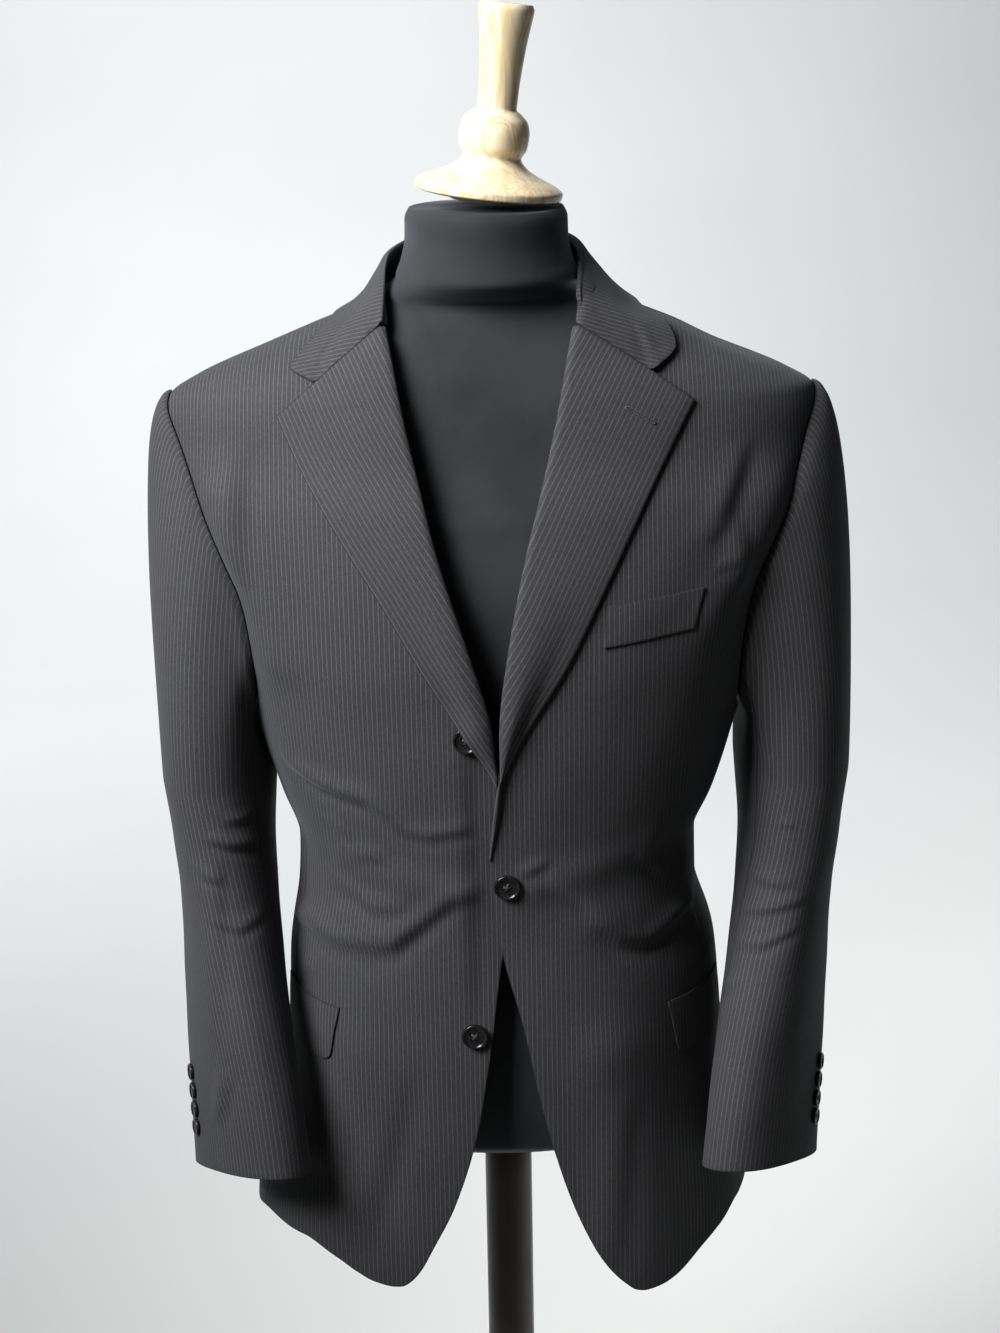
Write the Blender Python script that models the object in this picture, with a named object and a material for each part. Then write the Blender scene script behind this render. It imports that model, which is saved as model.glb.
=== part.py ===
"""A man's single-breasted suit jacket, carried by a dress form on a stand.

Metres, +Z up, the jacket's front towards -Y and the wearer's left towards +X.
The origin is the middle of the base's underside.
"""

import math

import bmesh
import bpy
from mathutils import Matrix, Vector

CLOTH = 0.002  # thickness of every cloth wall
SEAM = 0.0003  # gap left between two pieces sewn together
SIDE_SEAM = 66.0  # degrees round from the front centre to the front seam of the side panel
BACK_SEAM = 116.0  # and to its back seam
BREAK = 0.66  # row at which a panel's edges reach the armhole, as a share of its height
ARM_ROWS = 10  # rows from there to the shoulder seam, 15 degrees of the armhole each
LOW_ROWS = (0.0, 0.012, 0.025, 0.045, 0.08, 0.12, 0.17, 0.23, 0.29, 0.35, 0.41, 0.47, 0.53, 0.58, 0.62, BREAK)
BACK_ROWS = (0.0, 0.05, 0.10, 0.155, 0.21, 0.25, 0.28, 0.34, 0.40, 0.46, 0.52, 0.59, BREAK)
LAP = 0.0030  # how far the lower front lies behind the upper one
TURNED_UP = 0.0029  # height of a lapel's, flap's or welt's face above the cloth below
LAPEL_CLOTH = 0.0016
ROLL_INSET = 0.0034  # how far inside the lapel's roll the front's own edge lies
ROLL_BELLY = 0.0050  # how far the lapel's roll stands off the front just above the break
NOTCH_SHARE = 0.62  # share of the lapel's top that the collar is sewn to
COLLAR_OUT = 0.0031  # height of the collar's face above the body at its edge
BUTTON_LIFT = 0.0042  # how far the lapel rides up over the top button
LIFT_REACH = 0.019  # distance from that button at which the lapel has mostly come down again
CROWDING = 1.25  # how strongly a panel's columns crowd towards the armhole
BUTTON_R = 0.0100
CUFF_BUTTON_R = 0.0066
CUFF_CLOCK = 335.0  # degrees round the sleeve at which the cuff buttons sit, towards the back
CUFF_FIRST = 0.935  # share of a sleeve's rows at the lowest of them
CUFF_STEP = 0.0292  # and between one and the next
VENT_ROW = 0.265  # share of the back's rows at which the vent opens
VENT_LAP = 12.0  # degrees that the lower half of the vent runs on under the upper one
POLE_R = 0.0197
BASE_R = 0.175
BASE_TOP = 0.024
FORM_BOTTOM = 0.800
FORM_DROP = 0.0062  # how far the form's shoulders lie below the jacket's outer face
NECK_CENTRE = Vector((-0.0045, -0.006))
NECK_TOP = 1.5325
CAP_TILT = 6.8

LEFT, RIGHT = 1, -1  # the wearer's sides

# Horizontal sections through the jacket's outer face: height, half-width on the wearer's right
# and left, depth in front of and behind the side, and how square the section is.
SECTIONS = (
    (0.680, 0.2140, 0.2035, 0.138, 0.128, 2.50),
    (0.735, 0.2105, 0.2000, 0.141, 0.128, 2.50),
    (0.800, 0.1900, 0.1880, 0.142, 0.126, 2.50),
    (0.880, 0.1770, 0.1760, 0.143, 0.119, 2.50),
    (0.950, 0.1740, 0.1700, 0.140, 0.108, 2.50),
    (1.010, 0.1640, 0.1535, 0.137, 0.099, 2.45),
    (1.050, 0.1620, 0.1530, 0.137, 0.097, 2.40),
    (1.090, 0.1740, 0.1680, 0.139, 0.102, 2.40),
    (1.150, 0.1920, 0.1860, 0.142, 0.114, 2.40),
    (1.200, 0.2030, 0.2000, 0.142, 0.122, 2.40),
    (1.250, 0.2130, 0.2120, 0.138, 0.127, 2.35),
    (1.320, 0.2410, 0.2390, 0.122, 0.127, 2.20),
    (1.360, 0.2475, 0.2430, 0.106, 0.121, 2.10),
    (1.383, 0.2485, 0.2430, 0.098, 0.115, 2.05),
    (1.397, 0.2450, 0.2400, 0.093, 0.110, 2.00),
    (1.410, 0.2260, 0.2200, 0.088, 0.105, 2.00),
    (1.4325, 0.1725, 0.1650, 0.078, 0.094, 2.00),
    (1.446, 0.1390, 0.1370, 0.073, 0.0875, 2.00),
    (1.460, 0.1055, 0.1035, 0.068, 0.081, 2.00),
    (1.476, 0.0893, 0.0835, 0.063, 0.074, 2.00),
    (1.500, 0.0775, 0.0655, 0.058, 0.066, 2.00),
)

# The hem: degrees round from the front centre, height on the wearer's right and left.
HEM = (
    (15.0, 0.6995, 0.6930),
    (24.5, 0.6995, 0.6930),
    (29.0, 0.7028, 0.6931),
    (33.0, 0.7105, 0.6945),
    (37.0, 0.7200, 0.6985),
    (46.0, 0.7345, 0.7155),
    (54.0, 0.7350, 0.7272),
    (62.0, 0.7338, 0.7375),
    (75.0, 0.7250, 0.7395),
    (90.0, 0.7180, 0.7360),
    (116.0, 0.7200, 0.7250),
    (180.0, 0.7160, 0.7160),
)

# A front's inner edge, from the rounded corner up to the break and on along the roll line:
# row, distance from the centre line and height on the wearer's right, the same on the left.
FRONT_EDGE = (
    (0.00, 0.0930, 0.6995, 0.1054, 0.6930),
    (0.012, 0.0865, 0.7003, 0.0985, 0.6950),
    (0.025, 0.0785, 0.7060, 0.0915, 0.7010),
    (0.045, 0.0705, 0.7170, 0.0820, 0.7115),
    (0.08, 0.0600, 0.7385, 0.0668, 0.7365),
    (0.15, 0.0425, 0.7765, 0.0470, 0.7860),
    (0.24, 0.0250, 0.8348, 0.0279, 0.8574),
    (0.34, 0.0125, 0.9080, 0.0130, 0.9320),
    (0.42, 0.0016, 0.9890, -0.0008, 0.9870),
    (0.50, -0.0090, 1.0350, -0.0083, 1.0330),
    (0.54, -0.0150, 1.0600, -0.0101, 1.0575),
    (0.60, -0.0150, 1.0950, -0.0073, 1.0910),
    (0.66, -0.0040, 1.1350, -0.0022, 1.1330),
)

# The roll line: share of the way from the break to the gorge, then as above.
ROLL_LINE = (
    (0.00, 0.0035, 1.1370, -0.0012, 1.1330),
    (0.12, 0.0095, 1.1720, 0.0016, 1.1720),
    (0.28, 0.0240, 1.2240, 0.0100, 1.2330),
    (0.50, 0.0466, 1.2969, 0.0240, 1.3000),
    (0.65, 0.0572, 1.3400, 0.0345, 1.3385),
    (0.82, 0.0692, 1.3900, 0.0472, 1.3900),
    (1.00, 0.0812, 1.4519, 0.0598, 1.4520),
)

# The lapel's outer edge, from the break up to its corner at the notch.
LAPEL_EDGE = (
    (0.00, 0.0090, 1.1390, 0.0012, 1.1365),
    (0.12, 0.0275, 1.1690, 0.0200, 1.1730),
    (0.30, 0.0530, 1.2100, 0.0470, 1.2170),
    (0.50, 0.0830, 1.2620, 0.0740, 1.2700),
    (0.72, 0.1150, 1.3120, 0.1010, 1.3230),
    (0.88, 0.1418, 1.3568, 0.1260, 1.3690),
    (1.00, 0.1582, 1.3925, 0.1434, 1.3998),
)

# The armhole, as a clock face seen from the side: degrees from the top towards the front,
# degrees round the body, height.
ARMHOLE = (
    (0.0, 90.0, 1.3990),
    (15.0, 79.0, 1.3860),
    (30.0, 69.0, 1.3620),
    (50.0, 61.8, 1.3200),
    (70.0, 58.8, 1.2850),
    (90.0, 58.4, 1.2520),
    (110.0, 58.6, 1.2200),
    (130.0, 60.8, 1.1930),
    (150.0, 66.0, 1.1680),
    (165.0, 76.0, 1.1540),
    (180.0, 90.0, 1.1500),
    (195.0, 103.5, 1.1550),
    (210.0, 116.0, 1.1740),
    (235.0, 123.0, 1.2100),
    (270.0, 125.0, 1.2700),
    (300.0, 121.0, 1.3220),
    (330.0, 110.0, 1.3650),
    (345.0, 100.5, 1.3850),
    (360.0, 90.0, 1.3990),
)

# Rings of a sleeve below the armhole: height, middle across on the wearer's right and left,
# middle front to back, half-width, half-depth, the turn that carries its front edge inwards,
# and how far the ring tips up towards the front.
SLEEVE = (
    (1.100, 0.2235, 0.2300, 0.000, 0.0420, 0.0800, 0.0, 0.00),
    (1.050, 0.2225, 0.2285, -0.008, 0.0385, 0.0770, 3.0, 0.06),
    (1.000, 0.2200, 0.2240, -0.022, 0.0370, 0.0735, 9.0, 0.14),
    (0.950, 0.2165, 0.2180, -0.044, 0.0355, 0.0700, 17.0, 0.22),
    (0.900, 0.2120, 0.2110, -0.070, 0.0335, 0.0665, 26.0, 0.30),
    (0.850, 0.2070, 0.2050, -0.092, 0.0315, 0.0630, 34.0, 0.34),
    (0.798, 0.2030, 0.2000, -0.109, 0.0300, 0.0605, 40.0, 0.35),
)

# The collar, from the centre back to the gorge: degrees round and height of the neck seam, the
# top of the roll (across, front to back, height), where the fall meets the body, and its edge.
COLLAR_LEFT = (
    (0.00, 180.0, 1.4830, 0.0000, 0.0690, 1.5100, 180.0, 1.4830, 180.0, 1.4680),
    (0.25, 140.0, 1.4830, 0.0450, 0.0500, 1.5100, 141.0, 1.4800, 142.0, 1.4630),
    (0.50, 92.0, 1.4790, 0.0625, 0.0120, 1.5020, 94.0, 1.4765, 98.0, 1.4600),
    (0.68, 62.0, 1.4740, 0.0640, -0.0190, 1.4910, 74.0, 1.4680, 82.0, 1.4570),
    (0.84, 45.0, 1.4640, 0.0620, -0.0420, 1.4740, 54.0, 1.4520, 66.0, 1.4450),
    (1.00, 31.0, 1.4515, 0.0590, -0.0625, 1.4555, 34.3, 1.4197, 51.6, 1.4315),
)
COLLAR_RIGHT = (
    (0.00, 180.0, 1.4830, 0.0000, 0.0690, 1.5100, 180.0, 1.4830, 180.0, 1.4680),
    (0.25, 140.0, 1.4830, 0.0530, 0.0500, 1.5070, 141.0, 1.4780, 142.0, 1.4630),
    (0.50, 92.0, 1.4790, 0.0780, 0.0120, 1.4970, 94.0, 1.4720, 98.0, 1.4560),
    (0.68, 66.0, 1.4730, 0.0800, -0.0190, 1.4880, 74.0, 1.4640, 78.0, 1.4520),
    (0.84, 52.0, 1.4640, 0.0805, -0.0400, 1.4730, 54.0, 1.4450, 61.0, 1.4410),
    (1.00, 40.0, 1.4530, 0.0812, -0.0575, 1.4578, 36.8, 1.4151, 48.9, 1.4225),
)

# The broad folds: wearer's side, degrees and height of each end, half-width, height of the ridge.
FOLDS = (
    (LEFT, 30.0, 0.690, 27.0, 0.900, 0.030, 0.0055),
    (LEFT, 9.0, 1.048, 40.0, 1.066, 0.014, 0.0026),
    (LEFT, 26.0, 1.012, 62.0, 1.000, 0.016, 0.0030),
    (LEFT, 56.0, 1.330, 44.0, 1.245, 0.020, 0.0045),
    (LEFT, 140.0, 0.740, 138.0, 0.960, 0.034, 0.0050),
    (LEFT, 118.0, 1.240, 128.0, 1.080, 0.022, 0.0040),
    (RIGHT, 10.0, 1.040, 44.0, 1.060, 0.014, 0.0028),
    (RIGHT, 30.0, 1.012, 68.0, 0.990, 0.016, 0.0032),
    (RIGHT, 54.0, 1.330, 50.0, 1.215, 0.022, 0.0050),
    (RIGHT, 46.0, 0.720, 40.0, 0.900, 0.030, 0.0050),
    (RIGHT, 140.0, 0.740, 138.0, 0.960, 0.034, 0.0050),
    (RIGHT, 118.0, 1.240, 128.0, 1.080, 0.022, 0.0040),
)

# The form: height, half-width, depth in front and behind, squareness.
FORM = (
    (0.800, 0.140, 0.100, 0.095, 2.2),
    (0.812, 0.155, 0.112, 0.106, 2.3),
    (0.900, 0.163, 0.122, 0.104, 2.3),
    (0.980, 0.150, 0.118, 0.092, 2.3),
    (1.045, 0.141, 0.114, 0.085, 2.3),
    (1.110, 0.157, 0.118, 0.094, 2.3),
    (1.180, 0.176, 0.122, 0.108, 2.3),
    (1.250, 0.193, 0.119, 0.115, 2.2),
    (1.320, 0.213, 0.104, 0.114, 2.1),
)

# The neck cap, turned in one piece: radius and height above the rim's underside.
CAP_PROFILE = (
    (0.000, -0.0050),
    (0.028, -0.0050),
    (0.030, -0.0020),
    (0.050, -0.0008),
    (0.054, 0.0010),
    (0.0545, 0.0050),
    (0.049, 0.0095),
    (0.037, 0.0145),
    (0.027, 0.0200),
    (0.0215, 0.0270),
    (0.0250, 0.0340),
    (0.0258, 0.0440),
    (0.0238, 0.0525),
    (0.0180, 0.0585),
    (0.0145, 0.0615),
    (0.0148, 0.0760),
    (0.0168, 0.1040),
    (0.0202, 0.1300),
    (0.0188, 0.1345),
    (0.000, 0.1350),
)


def shade(name, colour, roughness):
    material = bpy.data.materials.new(name)
    material.use_nodes = True
    principled = material.node_tree.nodes["Principled BSDF"]
    principled.inputs["Base Color"].default_value = (*colour, 1.0)
    principled.inputs["Roughness"].default_value = roughness
    material.diffuse_color = (*colour, 1.0)
    return material


def read(table, column, at):
    """A column of a table at any value of its first column, as a curve that never overshoots."""
    last = len(table) - 1
    if at <= table[0][0]:
        return table[0][column]
    if at >= table[last][0]:
        return table[last][column]
    k = max(i for i in range(last) if table[i][0] <= at)
    slopes = [(b[column] - a[column]) / (b[0] - a[0]) for a, b in zip(table, table[1:])]

    def slope_at(i):
        if i in (0, last):
            return slopes[0 if i == 0 else -1]
        before, after = slopes[i - 1], slopes[i]
        return 2 * before * after / (before + after) if before * after > 0 else 0.0

    span = table[k + 1][0] - table[k][0]
    t = (at - table[k][0]) / span
    return (
        table[k][column] * (1 + 2 * t) * (1 - t) ** 2
        + slope_at(k) * span * t * (1 - t) ** 2
        + table[k + 1][column] * t * t * (3 - 2 * t)
        + slope_at(k + 1) * span * t * t * (t - 1)
    )


def ease(value, start, end):
    """0 before start, 1 after end, and smooth between."""
    t = min(max((value - start) / (end - start), 0.0), 1.0)
    return t * t * (3 - 2 * t)


def mix(a, b, t):
    return a + (b - a) * t


def oval(half, front, back, power, turn):
    """A point of a section, and how far round it is counted from the front centre."""
    s, c = math.sin(math.radians(turn)), math.cos(math.radians(turn))
    reach = (abs(s) ** power + abs(c) ** power) ** (-1 / power)
    return half * s * reach, -(front if c > 0 else back) * c * reach


def bare(side, turn, height):
    half = read(SECTIONS, 1 if side == RIGHT else 2, height)
    front, back, power = (read(SECTIONS, k, height) for k in (3, 4, 5))
    x, y = oval(half, front, back, power, turn)
    return Vector((side * x, y, height))


def outward(side, turn, height):
    across = bare(side, turn + 0.8, height) - bare(side, turn - 0.8, height)
    up = bare(side, turn, height + 0.002) - bare(side, turn, height - 0.002)
    return across.cross(up).normalized() * side


def fold(side, turn, height):
    """How far the broad folds lift the cloth at a place."""
    lift = 0.0
    reach = math.radians(1.0) * 0.17
    for of, turn_a, height_a, turn_b, height_b, width, ridge in FOLDS:
        if of != side:
            continue
        ax, az = turn_a * reach, height_a
        bx, bz = turn_b * reach, height_b
        px, pz = turn * reach, height
        span = (bx - ax) ** 2 + (bz - az) ** 2
        t = ((px - ax) * (bx - ax) + (pz - az) * (bz - az)) / span
        near = min(max(t, 0.0), 1.0)
        gap = math.hypot(px - mix(ax, bx, near), pz - mix(az, bz, near))
        lift += ridge * math.exp(-((gap / width) ** 2))
    return lift


def body(side, turn, height, out=0.0):
    """A point of the jacket's outer face, lifted by its folds and moved out along the normal."""
    return bare(side, turn, height) + outward(side, turn, height) * (out + fold(side, turn, height))


def turn_at(side, across, height):
    """Degrees round from the front centre to a distance from the centre line, in front."""
    half = read(SECTIONS, 1 if side == RIGHT else 2, height)
    power = read(SECTIONS, 5, height)
    share = min(abs(across) / half, 0.9999)
    turn = math.degrees(math.atan2(share, (1 - share**power) ** (1 / power)))
    return math.copysign(turn, across)


def columns(side, table, at):
    """The (degrees, height) at which an edge given by distance and height crosses a row."""
    first = 1 if side == RIGHT else 3
    height = read(table, first + 1, at)
    return turn_at(side, read(table, first, at), height), height


def across_lapel(side, up, share):
    """The (degrees, height) of a place on a lapel, whose rows are straight when seen from the front."""
    first = 1 if side == RIGHT else 3
    x, z = (mix(read(ROLL_LINE, k, up), read(LAPEL_EDGE, k, up), share) for k in (first, first + 1))
    return turn_at(side, x, z), z


def armhole(clock):
    return read(ARMHOLE, 1, clock), read(ARMHOLE, 2, clock)


def hem(side, turn):
    return read(HEM, 1 if side == RIGHT else 2, abs(turn))


def front_inner(side, row):
    """A front's edge from the hem to the gorge, then round the neck to the shoulder seam."""
    if row <= BREAK:
        return columns(side, FRONT_EDGE, row)
    share = (row - BREAK) / (0.93 - BREAK)
    if share <= 1:
        return columns(side, ROLL_LINE, share)
    turn, height = columns(side, ROLL_LINE, 1.0)
    t = (row - 0.93) / 0.07
    return mix(turn, 90.0, t), mix(height, 1.4750, ease(t, 0, 1))


def front_outer(row):
    """The side seam up to the armhole, then the armhole up to the shoulder's end."""
    if row <= BREAK:
        return SIDE_SEAM, mix(0.0, 1.1680, row / BREAK)
    return armhole(mix(150.0, 0.0, (row - BREAK) / (1 - BREAK)))


def back_inner(row):
    """The centre back up to the neck, then round it to the shoulder seam."""
    if row <= 0.93:
        return 180.0, mix(0.0, 1.4780, row / 0.93)
    t = (row - 0.93) / 0.07
    return mix(180.0, 90.0, t), mix(1.4780, 1.4750, t)


def back_outer(row):
    if row <= BREAK:
        return BACK_SEAM, mix(0.0, 1.1740, row / BREAK)
    return armhole(mix(210.0, 360.0, (row - BREAK) / (1 - BREAK)))


def sheet(name, material, across, up, place, out_of, thickness=CLOTH):
    """A cloth wall: a grid laid by place(u, v), facing away from out_of, thickened inwards."""
    mesh = bpy.data.meshes.new(name)
    grid = bmesh.new()
    bmesh.ops.create_grid(grid, x_segments=across, y_segments=up, size=0.5)
    for vertex in grid.verts:
        vertex.co = place(vertex.co.x + 0.5, vertex.co.y + 0.5)
    grid.normal_update()
    facing = sum(
        face.normal.dot(out_of(face.calc_center_median())) * face.calc_area()
        for face in grid.faces
    )
    if facing < 0:
        bmesh.ops.reverse_faces(grid, faces=grid.faces[:])
    grid.to_mesh(mesh)
    grid.free()
    mesh.materials.append(material)
    piece = bpy.data.objects.new(name, mesh)
    bpy.context.scene.collection.objects.link(piece)
    wall = piece.modifiers.new("wall", "SOLIDIFY")
    wall.thickness = thickness
    wall.offset = -1.0
    wall.use_even_offset = True
    wall.thickness_clamp = 0.0
    return piece


def from_axis(point):
    """Away from the body's middle, and up over the shoulders."""
    return Vector((point.x, point.y, max(point.z - 1.36, 0.0) * 1.6))


def wall(name, material, across, up, place):
    """A closed cloth wall between two grids of points: place(u, v) gives its outer and inner face."""
    faces = bmesh.new()
    outer, inner = [], []
    for j in range(up + 1):
        for i in range(across + 1):
            out_point, in_point = place(i / across, j / up)
            outer.append(faces.verts.new(out_point))
            inner.append(faces.verts.new(in_point))
    row = across + 1
    for j in range(up):
        for i in range(across):
            k = j * row + i
            around = (k, k + 1, k + row + 1, k + row)
            faces.faces.new([outer[c] for c in around])
            faces.faces.new([inner[c] for c in reversed(around)])
    rim = list(range(across))
    rim += [j * row + across for j in range(up)]
    rim += [up * row + i for i in range(across, 0, -1)]
    rim += [j * row for j in range(up, 0, -1)]
    for a, b in zip(rim, rim[1:] + rim[:1]):
        faces.faces.new((outer[b], outer[a], inner[a], inner[b]))
    bmesh.ops.recalc_face_normals(faces, faces=faces.faces[:])
    mesh = bpy.data.meshes.new(name)
    faces.to_mesh(mesh)
    faces.free()
    mesh.materials.append(material)
    piece = bpy.data.objects.new(name, mesh)
    bpy.context.scene.collection.objects.link(piece)
    return piece


def body_wall(side, turn, height, out=0.0):
    """The two faces of a cloth wall on the body."""
    return body(side, turn, height, out), body(side, turn, height, out - CLOTH)


def gap_turn(turn, radius=0.16):
    """Degrees that half a seam's gap takes at a section's radius."""
    return math.degrees(SEAM / radius) * turn


def reach_at(side, turn, height):
    """Metres round the body that one radian takes at a place."""
    return (bare(side, turn + 0.5, height) - bare(side, turn - 0.5, height)).length / math.radians(1.0)


def panel_rows(low):
    """The rows of a front or back, with one at every 15 degrees of the armhole."""
    return list(low) + [mix(BREAK, 1.0, k / ARM_ROWS) for k in range(1, ARM_ROWS + 1)]


def under_lap(side, turn, height):
    """How far the wearer's right front steps back to pass behind the left one."""
    if side == LEFT:
        return 0.0
    x = bare(side, turn, height).x
    fades = ease(height, 0.90, 0.97) * (1 - ease(height, 1.14, 1.19))
    return -LAP * ease(x, -0.034, -0.016) * fades


def front(side, material):
    name = "front_left" if side == LEFT else "front_right"

    rows = panel_rows(LOW_ROWS)

    def place(u, v):
        row = rows[round(v * (len(rows) - 1))]
        turn_a, height_a = front_inner(side, row)
        turn_b, height_b = front_outer(row)
        if row <= BREAK:
            height_b = mix(hem(side, SIDE_SEAM), 1.1680, row / BREAK)
        if BREAK <= row < 0.97:
            # The cloth's own edge lies inside the lapel's roll.
            turn_a += math.degrees(ROLL_INSET / reach_at(side, turn_a, height_a))
        # Above the break the columns crowd towards the armhole, where the shoulder rounds off.
        u = mix(u, 1 - (1 - u) ** CROWDING, ease(row, BREAK, 0.95))
        turn = mix(turn_a, turn_b, u)
        height = mix(height_a, height_b, u)
        low = 1 - ease(row, 0.0, 0.16)
        if low > 0:
            straight = mix(columns(side, FRONT_EDGE, 0.0)[1], hem(side, SIDE_SEAM), u)
            height += low * (hem(side, mix(columns(side, FRONT_EDGE, 0.0)[0], SIDE_SEAM, u)) - straight)
        if row <= BREAK or u < 1:
            turn -= gap_turn(u)
        if row == 1.0:
            turn -= gap_turn(1.0, 0.06)
        return body_wall(side, turn, height, under_lap(side, turn, height))

    return wall(name, material, 12, len(rows) - 1, place)


def side_panel(side, material):
    name = "side_panel_left" if side == LEFT else "side_panel_right"

    def place(u, v):
        clock_turn = read(ARMHOLE, 1, mix(150.0, 210.0, u))
        turn = mix(mix(SIDE_SEAM, BACK_SEAM, u), clock_turn, v)
        turn += gap_turn(2) * (1 - 2 * u)
        top = read(ARMHOLE, 2, mix(150.0, 210.0, u)) - 0.0013
        return body_wall(side, turn, mix(hem(side, turn), top, v))

    return wall(name, material, 4, 14, place)


def back(side, material):
    name = "back_left" if side == LEFT else "back_right"

    rows = panel_rows(BACK_ROWS)

    def place(u, v):
        row = rows[round(v * (len(rows) - 1))]
        turn_a, height_a = back_inner(row)
        turn_b, height_b = back_outer(row)
        if row <= 0.933:
            height_a = mix(hem(side, 180.0), 1.4780, row / 0.93)
        if row <= BREAK:
            height_b = mix(hem(side, BACK_SEAM), 1.1740, row / BREAK)
        turn_a -= gap_turn(1, 0.1) if row <= 0.933 else 0.0
        share = mix(u, 1 - (1 - u) ** CROWDING, ease(row, BREAK, 0.95))
        turn = mix(turn_a, turn_b + gap_turn(1.5), share)
        if row == 1.0:
            turn += gap_turn(1.0, 0.06)
        height = mix(height_a, height_b, share)
        out = 0.0
        if side == RIGHT and row < VENT_ROW and u < 1.5 / 8:
            # The under half of the vent runs on past the centre, one cloth further in.
            if u > 0:
                turn = 179.0
            elif row < VENT_ROW - 0.04:
                turn = 180.0 + VENT_LAP
            out = -LAP
        return body_wall(side, turn, height, out)

    return wall(name, material, 8, len(rows) - 1, place)


TOP_BUTTON = (turn_at(RIGHT, 0.0255, 1.1650), 1.1650)  # degrees round and height of its middle


def lapel(side, material):
    name = "lapel_left" if side == LEFT else "lapel_right"
    # The roll, which wraps the front's edge, and the face: share of the width, way towards the
    # centre, height above the front.
    rolled = (
        (0.00, 0.0012, -0.0034),
        (0.00, 0.0038, -0.0014),
        (0.00, 0.0040, 0.0022),
        (0.02, 0.0012, 0.0048),
        (0.25, 0.0, 0.0052),
        (0.60, 0.0, 0.0044),
        (1.00, 0.0, TURNED_UP),
    )

    def place(u, v):
        share, centre, out = rolled[round(u * (len(rolled) - 1))]
        up = 0.02 + 0.98 * v
        if out < 0:
            out *= mix(0.35, 1.0, ease(up, 0.05, 0.3))
        toward = body(side, *across_lapel(side, up, 1.0)) - body(side, *across_lapel(side, up, 0.0))
        belly = ROLL_BELLY * (1 - ease(up, 0.10, 0.55)) * math.sin(math.pi * min(share + 0.25, 1.0))
        point = body(side, *across_lapel(side, up, share), out + belly * ease(up, 0.0, 0.15))
        point -= toward.normalized() * centre * ease(up, -0.05, 0.20)
        if side == RIGHT:
            # The lapel rides up over the top button.
            turn, height = across_lapel(side, up, share)
            apart = (body(side, turn, height) - body(side, *TOP_BUTTON)).length
            lift = BUTTON_LIFT * math.exp(-((apart / LIFT_REACH) ** 2)) * ease(share, 0.2, 0.9)
            point += outward(side, turn, height) * lift
        if v == 1:
            # The gorge seam, where the collar is sewn on.
            point.z -= 3 * SEAM + 0.6 * centre
        return point

    return sheet(name, material, len(rolled) - 1, 20, place, from_axis, LAPEL_CLOTH)


def collar(material):
    # Columns from the foot (0) by the roll (2) and where the fall meets the body (4) to the edge (5).
    stops = (0.0, 0.5, 1.0, 2.0, 3.0, 3.35, 3.7, 4.0, 4.33, 4.67, 5.0)

    def place(u, v):
        w = v * 2 - 1
        side, table, at = (LEFT, COLLAR_LEFT, w) if w >= 0 else (RIGHT, COLLAR_RIGHT, -w)
        seam = body(side, read(table, 1, at), read(table, 2, at), -0.0006)
        roll = Vector((side * read(table, 3, at), read(table, 4, at), read(table, 5, at)))
        turn_a, height_a, turn_b, height_b = (read(table, k, at) for k in (6, 7, 8, 9))
        meets = body(side, turn_a, height_a, COLLAR_OUT + 0.0005)
        down = ((seam - roll).normalized() + (meets - roll).normalized()).normalized()
        apart = ((meets - roll).normalized() - (seam - roll).normalized()).normalized()
        inner = roll + down * 0.0032 - apart * 0.0032
        outer = roll + down * 0.0032 + apart * 0.0032
        foot = seam + (roll - seam) * 0.06 + Vector((0, 0, 0.0008))
        stop = stops[round(u * (len(stops) - 1))]
        if stop > 4.0:
            t = stop - 4.0
            out = mix(COLLAR_OUT + 0.0005, COLLAR_OUT, t) + 0.0012 * (1 - t) * ease(at, 0.93, 1.0)
            return body(side, mix(turn_a, turn_b, t), mix(height_a, height_b, t), out)
        path = (foot, inner, roll, outer, meets)
        k = min(int(stop), 3)
        point = path[k].lerp(path[k + 1], stop - k)
        if k == 3:
            # The collar's end lies along the top of the lapel, as far as the notch.
            along = body(side, *across_lapel(side, 1.0, mix(0.04, NOTCH_SHARE, stop - 3)), 0.0048)
            point = point.lerp(along, ease(at, 0.93, 1.0))
        return point

    return sheet("collar", material, len(stops) - 1, 28, place, lambda p: Vector((0, 0, 1)))


SLEEVE_UP = tuple(reversed(SLEEVE))
SLEEVE_HEAD = 0.34  # share of a sleeve's rows between the armhole and its first level ring


def sleeve_ring(side, clock, height):
    middle = read(SLEEVE_UP, 1 if side == RIGHT else 2, height)
    depth, p, q, twist, tip = (read(SLEEVE_UP, k, height) for k in (3, 4, 5, 6, 7))
    c, s = math.cos(math.radians(clock)), math.sin(math.radians(clock))
    reach = (abs(c) ** 2.3 + abs(s) ** 2.3) ** (-1 / 2.3)
    x, y = p * c * reach, -q * s * reach
    tc, ts = math.cos(math.radians(twist)), math.sin(math.radians(twist))
    back = -x * ts + y * tc
    return Vector((side * (middle + x * tc + y * ts), depth + back, height - tip * back))


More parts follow.
